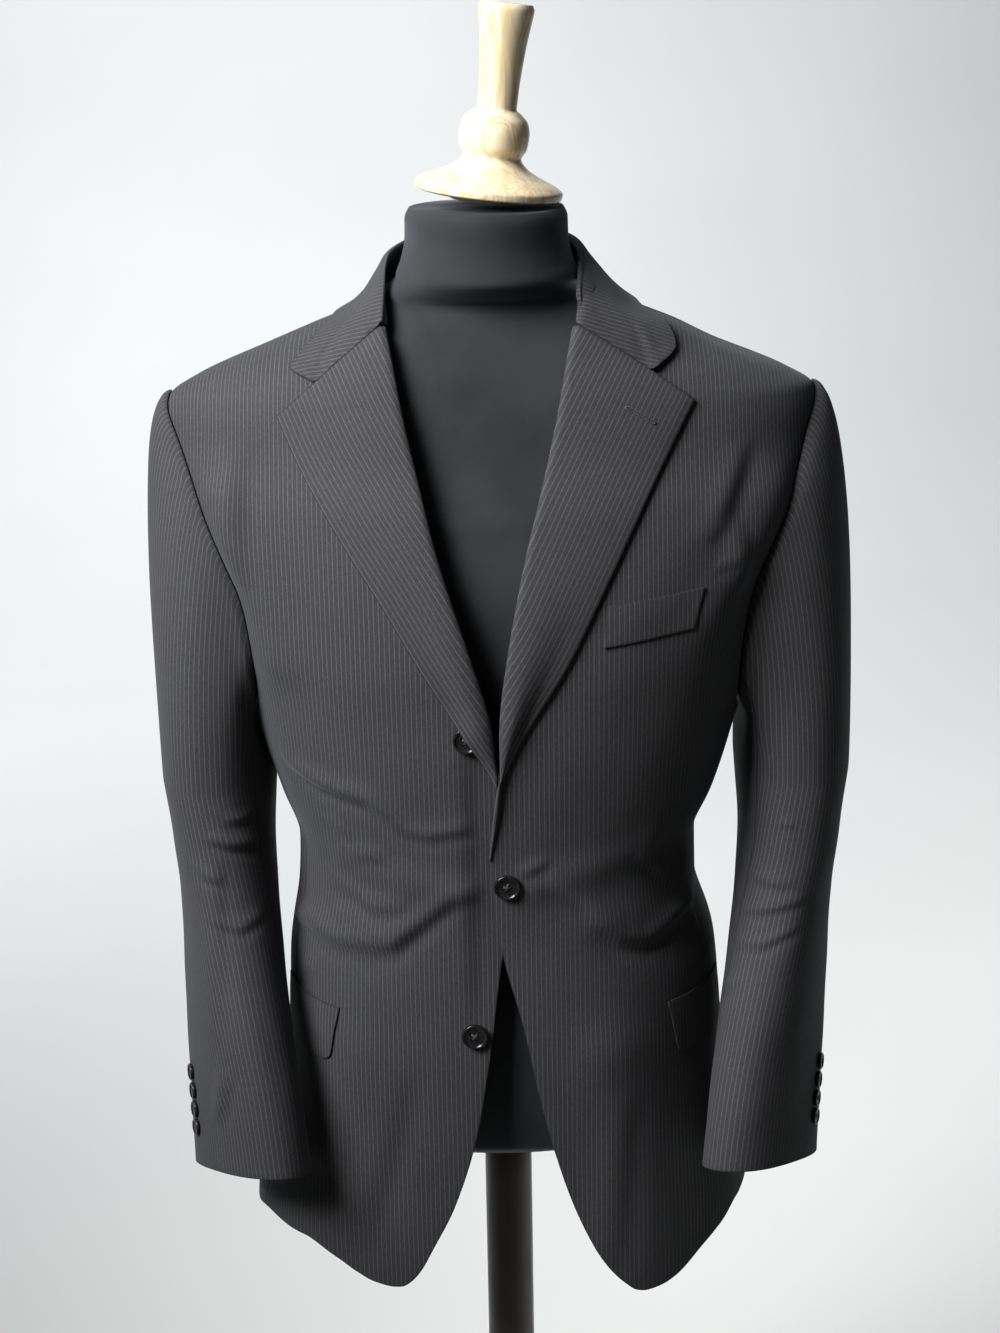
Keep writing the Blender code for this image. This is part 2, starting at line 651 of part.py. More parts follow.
def sleeve_point(side, clock, row):
    """A point of the sleeve's inner face: clock degrees round, row 0 at the armhole, 1 at the cuff."""
    clock %= 360.0
    if row >= SLEEVE_HEAD:
        t = (row - SLEEVE_HEAD) / (1 - SLEEVE_HEAD)
        height = mix(SLEEVE[0][0], SLEEVE[-1][0], t)
        return sleeve_ring(side, clock, height)
    turn, height = armhole(clock)
    end = sleeve_ring(side, clock, SLEEVE[0][0])
    top = ease(math.cos(math.radians(clock)), -0.2, 1.0)
    low = ease(-math.cos(math.radians(clock)), 0.3, 1.0)
    start = body(side, turn, height, SEAM) + Vector((side * (SEAM + 0.0015 * low), 0, 0))
    leave = start + Vector((side * mix(0.011, 0.0245, top), 0, mix(-0.004, -0.001, top) - 0.008 * low))
    arrive = end + Vector((side * 0.001 * top, 0, mix(0.55, 0.50, top) * (start.z - end.z)))
    t = row / SLEEVE_HEAD
    r = 1 - t
    return start * r**3 + leave * (3 * t * r * r) + arrive * (3 * t * t * r) + end * t**3


def sleeve_outward(side, clock, row):
    across = sleeve_point(side, clock + 1.5, row) - sleeve_point(side, clock - 1.5, row)
    low, high = max(row - 0.008, 0.0), min(row + 0.008, 1.0)
    down = sleeve_point(side, clock, high) - sleeve_point(side, clock, low)
    return across.cross(down).normalized() * side


def sleeve(side, part, material):
    """The top sleeve runs over the outer face and round the front, the under sleeve inside."""
    where = "left" if side == LEFT else "right"
    low, high = (-45.0, 135.0) if part == "top" else (135.0, 315.0)

    def place(u, v):
        clock = mix(low, high, u)
        if u in (0.0, 1.0):
            clock += 0.45 if u == 0 else -0.45
        point = sleeve_point(side, clock, v)
        return point + sleeve_outward(side, clock, v) * CLOTH, point

    return wall(f"{part}_sleeve_{where}", material, 12, 18, place)


def patch(name, side, material, corners, out, across, up):
    """A piece lying on the fronts: corners are (degrees, height) anticlockwise from the low inner one."""
    (ta, za), (tb, zb), (tc, zc), (td, zd) = corners

    def place(u, v):
        turn = mix(mix(ta, tb, u), mix(td, tc, u), v)
        height = mix(mix(za, zb, u), mix(zd, zc, u), v)
        return body(side, turn, height, out)

    return sheet(name, material, across, up, place, from_axis)


def lathe(name, material, profile, steps, matrix):
    """A closed turned solid from (radius, height) pairs that start and end on the axis."""
    spun = bmesh.new()
    rings = []
    for radius, height in profile:
        if radius == 0:
            rings.append([spun.verts.new((0, 0, height))])
            continue
        rings.append(
            [
                spun.verts.new(
                    (
                        radius * math.cos(2 * math.pi * k / steps),
                        radius * math.sin(2 * math.pi * k / steps),
                        height,
                    )
                )
                for k in range(steps)
            ]
        )
    for low, high in zip(rings, rings[1:]):
        for k in range(steps):
            n = (k + 1) % steps
            corners = [low[k % len(low)], low[n % len(low)], high[n % len(high)], high[k % len(high)]]
            spun.faces.new(list(dict.fromkeys(corners)))
    bmesh.ops.recalc_face_normals(spun, faces=spun.faces[:])
    spun.transform(matrix)
    mesh = bpy.data.meshes.new(name)
    spun.to_mesh(mesh)
    spun.free()
    mesh.materials.append(material)
    piece = bpy.data.objects.new(name, mesh)
    bpy.context.scene.collection.objects.link(piece)
    return piece


def button(name, material, point, normal, radius, steps):
    thick = radius * 0.40
    profile = (
        (0.0, 0.0),
        (radius * 0.90, 0.0),
        (radius, thick * 0.35),
        (radius * 0.97, thick * 0.85),
        (radius * 0.86, thick),
        (radius * 0.72, thick * 0.70),
        (0.0, thick * 0.62),
    )
    turned = normal.to_track_quat("Z", "Y").to_matrix().to_4x4()
    return lathe(name, material, profile, steps, Matrix.Translation(point) @ turned)


def form_ring(height, turn):
    if height <= FORM[-1][0]:
        half, front, back, power = (read(FORM, k, height) for k in (1, 2, 3, 4))
        left = right = half
    else:
        raised = height + FORM_DROP
        right, left = read(SECTIONS, 1, raised), read(SECTIONS, 2, raised)
        limit = mix(0.213, 0.222, ease(height, 1.320, 1.370))
        right, left = min(right, limit), min(left, limit)
        front = read(SECTIONS, 3, raised) - mix(0.018, 0.011, ease(height, 1.33, 1.42))
        back = read(SECTIONS, 4, raised) - mix(0.013, 0.011, ease(height, 1.33, 1.42))
        back -= 0.005 * ease(height, 1.44, 1.467)
        power = mix(2.1, 2.0, ease(height, 1.32, 1.40))
    side = LEFT if turn < 180 else RIGHT
    x, y = oval(left if side == LEFT else right, front, back, power, turn)
    return Vector((x, y, height))


def form_torso(material):
    heights = [
        0.800, 0.812, 0.850, 0.900, 0.945, 0.990, 1.045, 1.090, 1.130, 1.180, 1.225, 1.270,
        1.310, 1.345, 1.372, 1.388, 1.396, 1.402, 1.408, 1.414, 1.422, 1.432, 1.442, 1.452, 1.460, 1.467,
    ]
    neck = ((1.482, 0.0680), (1.496, 0.0635), (1.510, 0.0605), (1.526, 0.0600), (NECK_TOP, 0.0570))
    steps = 28
    shape = bmesh.new()
    rings = []
    for height in heights:
        ring = [form_ring(height, 360.0 * k / steps) for k in range(steps)]
        rings.append([shape.verts.new(p) for p in ring])
    for height, radius in neck:
        ring = []
        for k in range(steps):
            angle = 2 * math.pi * k / steps
            ring.append(
                shape.verts.new(
                    (
                        NECK_CENTRE.x + radius * math.sin(angle),
                        NECK_CENTRE.y - radius * math.cos(angle),
                        height,
                    )
                )
            )
        rings.append(ring)
    for low, high in zip(rings, rings[1:]):
        for k in range(steps):
            n = (k + 1) % steps
            shape.faces.new((low[k], low[n], high[n], high[k]))
    shape.faces.new(list(reversed(rings[0])))
    shape.faces.new(rings[-1])
    bmesh.ops.recalc_face_normals(shape, faces=shape.faces[:])
    mesh = bpy.data.meshes.new("form_torso")
    shape.to_mesh(mesh)
    shape.free()
    mesh.materials.append(material)
    piece = bpy.data.objects.new("form_torso", mesh)
    bpy.context.scene.collection.objects.link(piece)
    return piece


def main():
    for thing in list(bpy.data.objects):
        bpy.data.objects.remove(thing, do_unlink=True)

    suiting = shade("charcoal_suiting", (0.055, 0.056, 0.062), 0.85)
    horn = shade("button", (0.012, 0.012, 0.014), 0.25)
    black_cloth = shade("form_cloth", (0.016, 0.016, 0.018), 0.9)
    wood = shade("pale_wood", (0.62, 0.40, 0.20), 0.4)
    dark_wood = shade("dark_wood", (0.035, 0.022, 0.016), 0.5)

    for side in (RIGHT, LEFT):
        front(side, suiting)
        side_panel(side, suiting)
        back(side, suiting)
        lapel(side, suiting)
        sleeve(side, "top", suiting)
        sleeve(side, "under", suiting)
        where = "left" if side == LEFT else "right"
        corners = ((44.7, 0.8900), (74.0, 0.8900), (74.0, 0.9350), (42.7, 0.9370))
        patch(f"hip_flap_{where}", side, suiting, corners, TURNED_UP, 5, 2)
        for k in range(4):
            row = CUFF_FIRST - CUFF_STEP * k
            normal = sleeve_outward(side, CUFF_CLOCK, row)
            point = sleeve_point(side, CUFF_CLOCK, row) + normal * (CLOTH + SEAM)
            button(f"cuff_button_{where}_{k + 1}", horn, point, normal, CUFF_BUTTON_R, 10)

    collar(suiting)
    corners = ((20.6, 1.2310), (39.6, 1.2390), (40.4, 1.2690), (20.6, 1.2615))
    patch("breast_welt", LEFT, suiting, corners, TURNED_UP, 4, 1)

    for name, side, turn, height, lift in (
        ("button_top", RIGHT, *TOP_BUTTON, -0.0001),
        ("button_middle", LEFT, turn_at(LEFT, 0.0024, 1.0474), 1.0474, 0.0007),
        ("button_bottom", RIGHT, turn_at(RIGHT, 0.0239, 0.9257), 0.9257, 0.0003),
    ):
        normal = outward(side, turn, height)
        button(name, horn, body(side, turn, height, lift), normal, BUTTON_R, 14)

    form_torso(black_cloth)
    tilt = Matrix.Rotation(math.radians(CAP_TILT), 4, "Y")
    at = Matrix.Translation((NECK_CENTRE.x + 0.002, NECK_CENTRE.y, NECK_TOP + 0.0090))
    lathe("neck_cap", wood, CAP_PROFILE, 20, at @ tilt)
    stand = (
        (0.0, 0.0),
        (BASE_R, 0.0),
        (BASE_R, 0.010),
        (BASE_R - 0.008, 0.016),
        (0.045, BASE_TOP - 0.002),
        (POLE_R, BASE_TOP),
        (POLE_R, FORM_BOTTOM - SEAM),
        (0.0, FORM_BOTTOM - SEAM),
    )
    lathe("stand", dark_wood, stand, 32, Matrix())


main()
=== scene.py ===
"""A pinstriped suit jacket on a dress form, finished in cloth, horn and wood.

The panels are cut from the same sections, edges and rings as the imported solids, in metres, with
+Z up, the jacket's front towards -Y and the wearer's left towards +X. Each piece replaces its
solid and adds the smaller creases, rounded edges, seams and weave.
"""

import math

import bmesh
import bpy
import numpy as np
from mathutils import Matrix, Vector

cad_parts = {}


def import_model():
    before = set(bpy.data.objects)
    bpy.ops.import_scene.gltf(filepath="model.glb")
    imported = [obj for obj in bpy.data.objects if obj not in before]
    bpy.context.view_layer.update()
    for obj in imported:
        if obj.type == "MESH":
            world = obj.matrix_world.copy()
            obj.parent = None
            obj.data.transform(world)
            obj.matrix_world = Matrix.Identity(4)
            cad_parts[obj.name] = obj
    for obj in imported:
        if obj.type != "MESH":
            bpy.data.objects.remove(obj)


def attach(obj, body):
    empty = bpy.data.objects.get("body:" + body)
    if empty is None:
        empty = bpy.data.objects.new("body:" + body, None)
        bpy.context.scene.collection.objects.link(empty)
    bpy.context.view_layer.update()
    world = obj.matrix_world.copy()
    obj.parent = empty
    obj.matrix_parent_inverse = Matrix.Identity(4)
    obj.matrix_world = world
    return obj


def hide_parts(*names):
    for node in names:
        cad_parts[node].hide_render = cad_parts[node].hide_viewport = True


bl_info = {
    "name": "Suit jacket on a dress form",
    "version": (1, 0, 0),
    "blender": (4, 5, 0),
    "location": "View3D > Sidebar > Suit",
    "description": "Builds the jacket, its form and a plain studio, piece by piece",
    "category": "Object",
}

LEFT, RIGHT = 1, -1  # the wearer's sides
SIDES = ((LEFT, "left"), (RIGHT, "right"))
SEWN_ABOVE = ("start", "end", "high")  # edges of a grid that are sewn: all but the lowest row
SEWN_BELOW = ("start", "end", "low")  # and all but the highest, where a sleeve's cuff is

SEAM = 0.0003  # clearance left under what lies on or in something else
SEAM_REACH = 0.00006  # how far a panel's edge runs past its seam, into its neighbour's rounded edge
SIDE_SEAM = 66.0  # degrees round from the front centre to the front seam of the side panel
BACK_SEAM = 116.0  # and to its back seam
SIDE_CLOCK = 150.0  # clock degrees at which that front seam meets the armhole
BACK_CLOCK = 210.0  # and the back seam
SIDE_MIDDLE = 91.0  # degrees round to the middle of the side panel
SIDE_TOP = 1.1680  # height at which that front seam meets the armhole
BACK_TOP = 1.1740  # and the back seam
SIDE_DROP = 0.0013  # how far the side panel's top lies below the armhole
RADIUS_SIDE = 0.16  # radius of the body at its side seams
RADIUS_BACK = 0.10  # at the centre back
RADIUS_SHOULDER = 0.06  # and at the shoulder seams
BREAK = 0.66  # row, as a share of them all, of the lapel's break and the armhole's lowest point
NECK_ROW = 0.93  # row at which a panel's inner edge reaches the neck
NECK_ROWS = 0.07  # share of the rows from there round to the shoulder seam
NECK_SIDE = 1.4750  # height of the neck's edge at the shoulder seam
NECK_BACK = 1.4780  # and at the centre back
SHOULDER_ROWS = (0.985, 1.0)  # rows over which a panel comes to its shoulder seam
CHEST = 1.30  # above this height the stripes run straight up over the shoulder
LAP = 0.0030  # how far the lower front, or half of the vent, lies behind the upper one
LAP_LOW = (0.90, 0.97)  # heights over which that front steps back
LAP_HIGH = (1.14, 1.19)  # and comes forward again
LAP_ACROSS = (-0.034, -0.016)  # distances from the centre line over which it does so
TURNED_UP = 0.0029  # height of the face of a lapel's outer edge above the cloth below
LAPEL_CLOTH = 0.0016  # thickness of a lapel
FLAT_CLOTH = 0.0012  # and of a flap or welt
FLAT_OUT = (0.0002, 0.0007)  # how far a flap or welt lies off the front, at its seam and away from it
FLAT_EASE = 0.02  # distance from its seam over which it comes away
ROLL_INSET = 0.0034  # how far inside the lapel's roll the front's own edge lies
INSET_ROWS = (0.655, 0.6654), (0.96, 0.97)  # rows over which that inset begins and ends
ROLL_BELLY = 0.0050  # how far the lapel's roll stands off the front just above the break
NOTCH_SHARE = 0.62  # share of the lapel's top that the collar is sewn to
COLLAR_SUNK = 0.0006  # how far the collar's neck seam lies below the body's face
COLLAR_RUN = 0.09  # metres across the collar's cloth
COLLAR_OUT = 0.0031  # height of the collar's face above the body at its edge
COLLAR_FALL = 0.0005  # how much higher it stands where the fall meets the body
COLLAR_END = 0.0012  # and how much more at its two ends
COLLAR_ROLL = 0.0032  # radius of the collar's roll
ENDING = (0.93, 1.0)  # shares of the way round over which those ends take their shape
GORGE_OUT = 0.0048  # height of its end above the body along the top of the lapel
WRAPPED = -0.0107  # metres of cloth from the lapel's roll to its inner edge, for the stripes
UNDER_LAPEL = ((0.0035, 0.0040), (1.1370, 1.1270))  # the right one's place and height down its taper
BUTTON_LIFT = 0.0042  # how far the lapel rides up over the top button
LIFT_REACH = 0.019  # distance from that button at which the lapel has mostly come down again
HEM_ROWS = 0.16  # share of the rows of a front that take part in the hem's curve
CROWDING = 1.25  # how strongly a panel's columns crowd towards the armhole
CROWDED_ROW = 0.95  # row from which they do so fully
VENT_ROW = 0.265  # share of the back's rows at which the vent opens
VENT_EASE = 0.015  # rows on either side over which it opens
VENT_WHOLE = 0.055  # rows below it from which its lap is whole
VENT_EDGE = 179.0  # degrees round at which its under half is back on the body
VENT_LAP = 12.0  # degrees that the lower half of the vent runs on under the upper one
CUFF_CLOCK = 335.0  # degrees round the sleeve at which the cuff buttons sit, towards the back
CUFF_FIRST = 0.935  # share of a sleeve's rows at the lowest of them
CUFF_STEP = 0.0292  # and between one and the next
TOP_BUTTON = (0.0255, 1.1650)  # the top button's distance from the centre line, and its height
POLE_R = 0.0197  # radius of the pole
BASE_R = 0.175  # and of the base
BASE_TOP = 0.024  # height of the base at the pole
FORM_BOTTOM = 0.800  # height of the form's lower end
FORM_TOP = 1.467  # and of its highest ring, where the neck begins
FORM_DROP = 0.0062  # how far the form's shoulders lie below the jacket's outer face
FORM_GIRTH = 0.14  # metres for each radian round the form, for its knit
NECK_CENTRE = (-0.0045, -0.006)  # the neck's middle, across and front to back
NECK_TOP = 1.5325  # height of the neck's flat top
CAP_SEAT = (0.002, 0.0090)  # where the neck cap stands beside that middle and above that top
CAP_TILT = 6.8  # degrees by which it leans to the wearer's left
SLEEVE_HEAD = 0.34  # share of a sleeve's rows between the armhole and its first level ring
SLEEVE_POWER = 2.3  # how square its rings are
HEAD_OUT = (0.0110, 0.0245)  # how far the head first runs outwards, under the arm and on top
HEAD_UP = (-0.004, -0.001)  # and how far upwards
HEAD_DROP = (0.55, 0.50)  # share of the head's height over which it then turns down
UNDER_OUT, UNDER_DOWN = 0.0015, 0.008  # how much further out and down the seam under the arm lies
CLOCK_REACH = 0.08  # degrees by which a sleeve's edges run past their seams
TOP_OUT = 0.001  # how much the top still runs outwards at the first level ring
SLEEVE_LENGTH = 0.60  # metres that all its rows take, for creases
SLEEVE_CUT = 60.0  # clock degrees before the top at which its creases may not run on
SLEEVE_TWIST_REACH = 0.05  # metres that its stripes move round for each radian of its turn
SLEEVE_RUN = (0.30, 0.0, -0.32)  # metres along its cloth at the armhole, the head's end and the cuff
LAPEL_RUN = 0.30  # metres along a lapel's cloth
ROUND = math.radians(1.0) * 0.17  # metres that a degree takes round the body, for folds and creases
ROUND_ARM = math.radians(1.0) * 0.056  # the same round a sleeve

# The camera stands in front of the chest and looks a little down on the shoulders.
CAMERA_AT = (0.0, -1.634, 1.706)
CAMERA_DOWN, CAMERA_ROLL = 18.0, 1.0  # degrees
CAMERA_LENS, CAMERA_FRAME = 58.93, 36.0  # focal length and height of the frame, millimetres


class Table:
    """Rows of numbers, read down any column as a curve that never overshoots."""

    def __init__(self, *rows):
        self.rows = np.array(rows, float)
        self.keys = self.rows[:, 0]
        rise = np.diff(self.rows, axis=0) / np.diff(self.keys)[:, None]
        before, after = rise[:-1], rise[1:]
        same = before * after > 0
        inner = np.where(same, 2 * before * after / np.where(same, before + after, 1.0), 0.0)
        self.slopes = np.vstack((rise[:1], inner, rise[-1:]))

    def read(self, column, at):
        at = np.clip(at, self.keys[0], self.keys[-1])
        k = np.clip(np.searchsorted(self.keys, at, side="right") - 1, 0, len(self.keys) - 2)
        span = self.keys[k + 1] - self.keys[k]
        t = (at - self.keys[k]) / span
        return (
            self.rows[k, column] * (1 + 2 * t) * (1 - t) ** 2
            + self.slopes[k, column] * span * t * (1 - t) ** 2
            + self.rows[k + 1, column] * t * t * (3 - 2 * t)
            + self.slopes[k + 1, column] * span * t * t * (t - 1)
        )


# Horizontal sections through the jacket's outer face: height, half-width on the wearer's right
# and left, depth in front of and behind the side, and how square the section is.
SECTIONS = Table(
    (0.680, 0.2140, 0.2035, 0.138, 0.128, 2.50),
    (0.735, 0.2105, 0.2000, 0.141, 0.128, 2.50),
    (0.800, 0.1900, 0.1880, 0.142, 0.126, 2.50),
    (0.880, 0.1770, 0.1760, 0.143, 0.119, 2.50),
    (0.950, 0.1740, 0.1700, 0.140, 0.108, 2.50),
    (1.010, 0.1640, 0.1535, 0.137, 0.099, 2.45),
    (1.050, 0.1620, 0.1530, 0.137, 0.097, 2.40),
    (1.090, 0.1740, 0.1680, 0.139, 0.102, 2.40),
    (1.150, 0.1920, 0.1860, 0.142, 0.114, 2.40),
    (1.200, 0.2030, 0.2000, 0.142, 0.122, 2.40),
    (1.250, 0.2130, 0.2120, 0.138, 0.127, 2.35),
    (1.320, 0.2410, 0.2390, 0.122, 0.127, 2.20),
    (1.360, 0.2475, 0.2430, 0.106, 0.121, 2.10),
    (1.383, 0.2485, 0.2430, 0.098, 0.115, 2.05),
    (1.397, 0.2450, 0.2400, 0.093, 0.110, 2.00),
    (1.410, 0.2260, 0.2200, 0.088, 0.105, 2.00),
    (1.4325, 0.1725, 0.1650, 0.078, 0.094, 2.00),
    (1.446, 0.1390, 0.1370, 0.073, 0.0875, 2.00),
    (1.460, 0.1055, 0.1035, 0.068, 0.081, 2.00),
    (1.476, 0.0893, 0.0835, 0.063, 0.074, 2.00),
    (1.500, 0.0775, 0.0655, 0.058, 0.066, 2.00),
)

# The hem: degrees round from the front centre, height on the wearer's right and left.
HEM = Table(
    (15.0, 0.6995, 0.6930),
    (24.5, 0.6995, 0.6930),
    (29.0, 0.7028, 0.6931),
    (33.0, 0.7105, 0.6945),
    (37.0, 0.7200, 0.6985),
    (46.0, 0.7345, 0.7155),
    (54.0, 0.7350, 0.7272),
    (62.0, 0.7338, 0.7375),
    (75.0, 0.7250, 0.7395),
    (90.0, 0.7180, 0.7360),
    (116.0, 0.7200, 0.7250),
    (180.0, 0.7160, 0.7160),
)

# A front's inner edge, from the rounded corner up to the break and on along the roll line:
# row, distance from the centre line and height on the wearer's right, the same on the left.
FRONT_EDGE = Table(
    (0.00, 0.0930, 0.6995, 0.1054, 0.6930),
    (0.012, 0.0865, 0.7003, 0.0985, 0.6950),
    (0.025, 0.0785, 0.7060, 0.0915, 0.7010),
    (0.045, 0.0705, 0.7170, 0.0820, 0.7115),
    (0.08, 0.0600, 0.7385, 0.0668, 0.7365),
    (0.15, 0.0425, 0.7765, 0.0470, 0.7860),
    (0.24, 0.0250, 0.8348, 0.0279, 0.8574),
    (0.34, 0.0125, 0.9080, 0.0130, 0.9320),
    (0.42, 0.0016, 0.9890, -0.0008, 0.9870),
    (0.50, -0.0090, 1.0350, -0.0083, 1.0330),
    (0.54, -0.0150, 1.0600, -0.0101, 1.0575),
    (0.60, -0.0150, 1.0950, -0.0073, 1.0910),
    (0.66, -0.0040, 1.1350, -0.0022, 1.1330),
)

# The roll line: share of the way from the break to the gorge, then as above.
ROLL_LINE = Table(
    (0.00, 0.0035, 1.1370, -0.0012, 1.1330),
    (0.12, 0.0095, 1.1720, 0.0016, 1.1720),
    (0.28, 0.0240, 1.2240, 0.0100, 1.2330),
    (0.50, 0.0466, 1.2969, 0.0240, 1.3000),
    (0.65, 0.0572, 1.3400, 0.0345, 1.3385),
    (0.82, 0.0692, 1.3900, 0.0472, 1.3900),
    (1.00, 0.0812, 1.4519, 0.0598, 1.4520),
)

# The lapel's outer edge, from the break up to its corner at the notch.
LAPEL_EDGE = Table(
    (0.00, 0.0090, 1.1390, 0.0012, 1.1365),
    (0.12, 0.0275, 1.1690, 0.0200, 1.1730),
    (0.30, 0.0530, 1.2100, 0.0470, 1.2170),
    (0.50, 0.0830, 1.2620, 0.0740, 1.2700),
    (0.72, 0.1150, 1.3120, 0.1010, 1.3230),
    (0.88, 0.1418, 1.3568, 0.1260, 1.3690),
    (1.00, 0.1582, 1.3925, 0.1434, 1.3998),
)

# Across a lapel from the roll, which wraps the front's edge, to its outer edge: place, share of
# the width, way towards the centre, height above the front.
ROLLED = Table(
    (0.0, 0.00, 0.0012, -0.0034),
    (1.0, 0.00, 0.0038, -0.0014),
    (2.0, 0.00, 0.0040, 0.0022),
    (3.0, 0.02, 0.0012, 0.0048),
    (4.0, 0.25, 0.0, 0.0052),
    (5.0, 0.60, 0.0, 0.0044),
    (6.0, 1.00, 0.0, TURNED_UP),
)

# The armhole, as a clock face seen from the side: degrees from the top towards the front,
# degrees round the body, height.
ARMHOLE = Table(
    (0.0, 90.0, 1.3990),
    (15.0, 79.0, 1.3860),
    (30.0, 69.0, 1.3620),
    (50.0, 61.8, 1.3200),
    (70.0, 58.8, 1.2850),
    (90.0, 58.4, 1.2520),
    (110.0, 58.6, 1.2200),
    (130.0, 60.8, 1.1930),
    (150.0, 66.0, 1.1680),
    (165.0, 76.0, 1.1540),
    (180.0, 90.0, 1.1500),
    (195.0, 103.5, 1.1550),
    (210.0, 116.0, 1.1740),
    (235.0, 123.0, 1.2100),
    (270.0, 125.0, 1.2700),
    (300.0, 121.0, 1.3220),
    (330.0, 110.0, 1.3650),
    (345.0, 100.5, 1.3850),
    (360.0, 90.0, 1.3990),
)

# Rings of a sleeve below the armhole, from the cuff up: height, middle across on the wearer's
# right and left, middle front to back, half-width, half-depth, the turn that carries its front
# edge inwards, and how far the ring tips up towards the front.
SLEEVE = Table(
    (0.798, 0.2030, 0.2000, -0.109, 0.0300, 0.0605, 40.0, 0.35),
    (0.850, 0.2070, 0.2050, -0.092, 0.0315, 0.0630, 34.0, 0.34),
    (0.900, 0.2120, 0.2110, -0.070, 0.0335, 0.0665, 26.0, 0.30),
    (0.950, 0.2165, 0.2180, -0.044, 0.0355, 0.0700, 17.0, 0.22),
    (1.000, 0.2200, 0.2240, -0.022, 0.0370, 0.0735, 9.0, 0.14),
    (1.050, 0.2225, 0.2285, -0.008, 0.0385, 0.0770, 3.0, 0.06),
    (1.100, 0.2235, 0.2300, 0.000, 0.0420, 0.0800, 0.0, 0.00),
)

# The collar, from the centre back to the gorge: degrees round and height of the neck seam, the
# top of the roll (across, front to back, height), where the fall meets the body, and its edge.
COLLAR = {
    LEFT: Table(
        (0.00, 180.0, 1.4830, 0.0000, 0.0690, 1.5100, 180.0, 1.4830, 180.0, 1.4680),
        (0.25, 140.0, 1.4830, 0.0450, 0.0500, 1.5100, 141.0, 1.4800, 142.0, 1.4630),
        (0.50, 92.0, 1.4790, 0.0625, 0.0120, 1.5020, 94.0, 1.4765, 98.0, 1.4600),
        (0.68, 62.0, 1.4740, 0.0640, -0.0190, 1.4910, 74.0, 1.4680, 82.0, 1.4570),
        (0.84, 45.0, 1.4640, 0.0620, -0.0420, 1.4740, 54.0, 1.4520, 66.0, 1.4450),
        (1.00, 31.0, 1.4515, 0.0590, -0.0625, 1.4555, 34.3, 1.4197, 51.6, 1.4315),
    ),
    RIGHT: Table(
        (0.00, 180.0, 1.4830, 0.0000, 0.0690, 1.5100, 180.0, 1.4830, 180.0, 1.4680),
        (0.25, 140.0, 1.4830, 0.0530, 0.0500, 1.5070, 141.0, 1.4780, 142.0, 1.4630),
        (0.50, 92.0, 1.4790, 0.0780, 0.0120, 1.4970, 94.0, 1.4720, 98.0, 1.4560),
        (0.68, 66.0, 1.4730, 0.0800, -0.0190, 1.4880, 74.0, 1.4640, 78.0, 1.4520),
        (0.84, 52.0, 1.4640, 0.0805, -0.0400, 1.4730, 54.0, 1.4450, 61.0, 1.4410),
        (1.00, 40.0, 1.4530, 0.0812, -0.0575, 1.4578, 36.8, 1.4151, 48.9, 1.4225),
    ),
}
# Stops across the collar: the foot is 0, the roll 2, the fall meets the body at 4, the edge is 5.
COLLAR_STOPS = (0.0, 0.5, 1.0, 2.0, 3.0, 3.35, 3.7, 4.0, 4.33, 4.67, 5.0)

# Rows that shape a front and a back below the armhole.
FRONT_ROWS = (
    0.0, 0.012, 0.025, 0.045, 0.08, 0.12, 0.17, 0.23, 0.29, 0.35, 0.41, 0.47, 0.53, 0.58, 0.62, BREAK
)
BACK_ROWS = (0.0, 0.05, 0.10, 0.155, 0.21, 0.25, 0.28, 0.34, 0.40, 0.46, 0.52, 0.59, BREAK)
ARM_ROWS = 10  # and how many more follow beside it

# The broad folds: wearer's side, degrees and height of each end, half-width, height of the ridge.
FOLDS = (
    (LEFT, 30.0, 0.690, 27.0, 0.900, 0.030, 0.0055),
    (LEFT, 9.0, 1.048, 40.0, 1.066, 0.014, 0.0026),
    (LEFT, 26.0, 1.012, 62.0, 1.000, 0.016, 0.0030),
    (LEFT, 56.0, 1.330, 44.0, 1.245, 0.020, 0.0045),
    (LEFT, 140.0, 0.740, 138.0, 0.960, 0.034, 0.0050),
    (LEFT, 118.0, 1.240, 128.0, 1.080, 0.022, 0.0040),
    (RIGHT, 10.0, 1.040, 44.0, 1.060, 0.014, 0.0028),
    (RIGHT, 30.0, 1.012, 68.0, 0.990, 0.016, 0.0032),
    (RIGHT, 54.0, 1.330, 50.0, 1.215, 0.022, 0.0050),
    (RIGHT, 46.0, 0.720, 40.0, 0.900, 0.030, 0.0050),
    (RIGHT, 140.0, 0.740, 138.0, 0.960, 0.034, 0.0050),
    (RIGHT, 118.0, 1.240, 128.0, 1.080, 0.022, 0.0040),
)

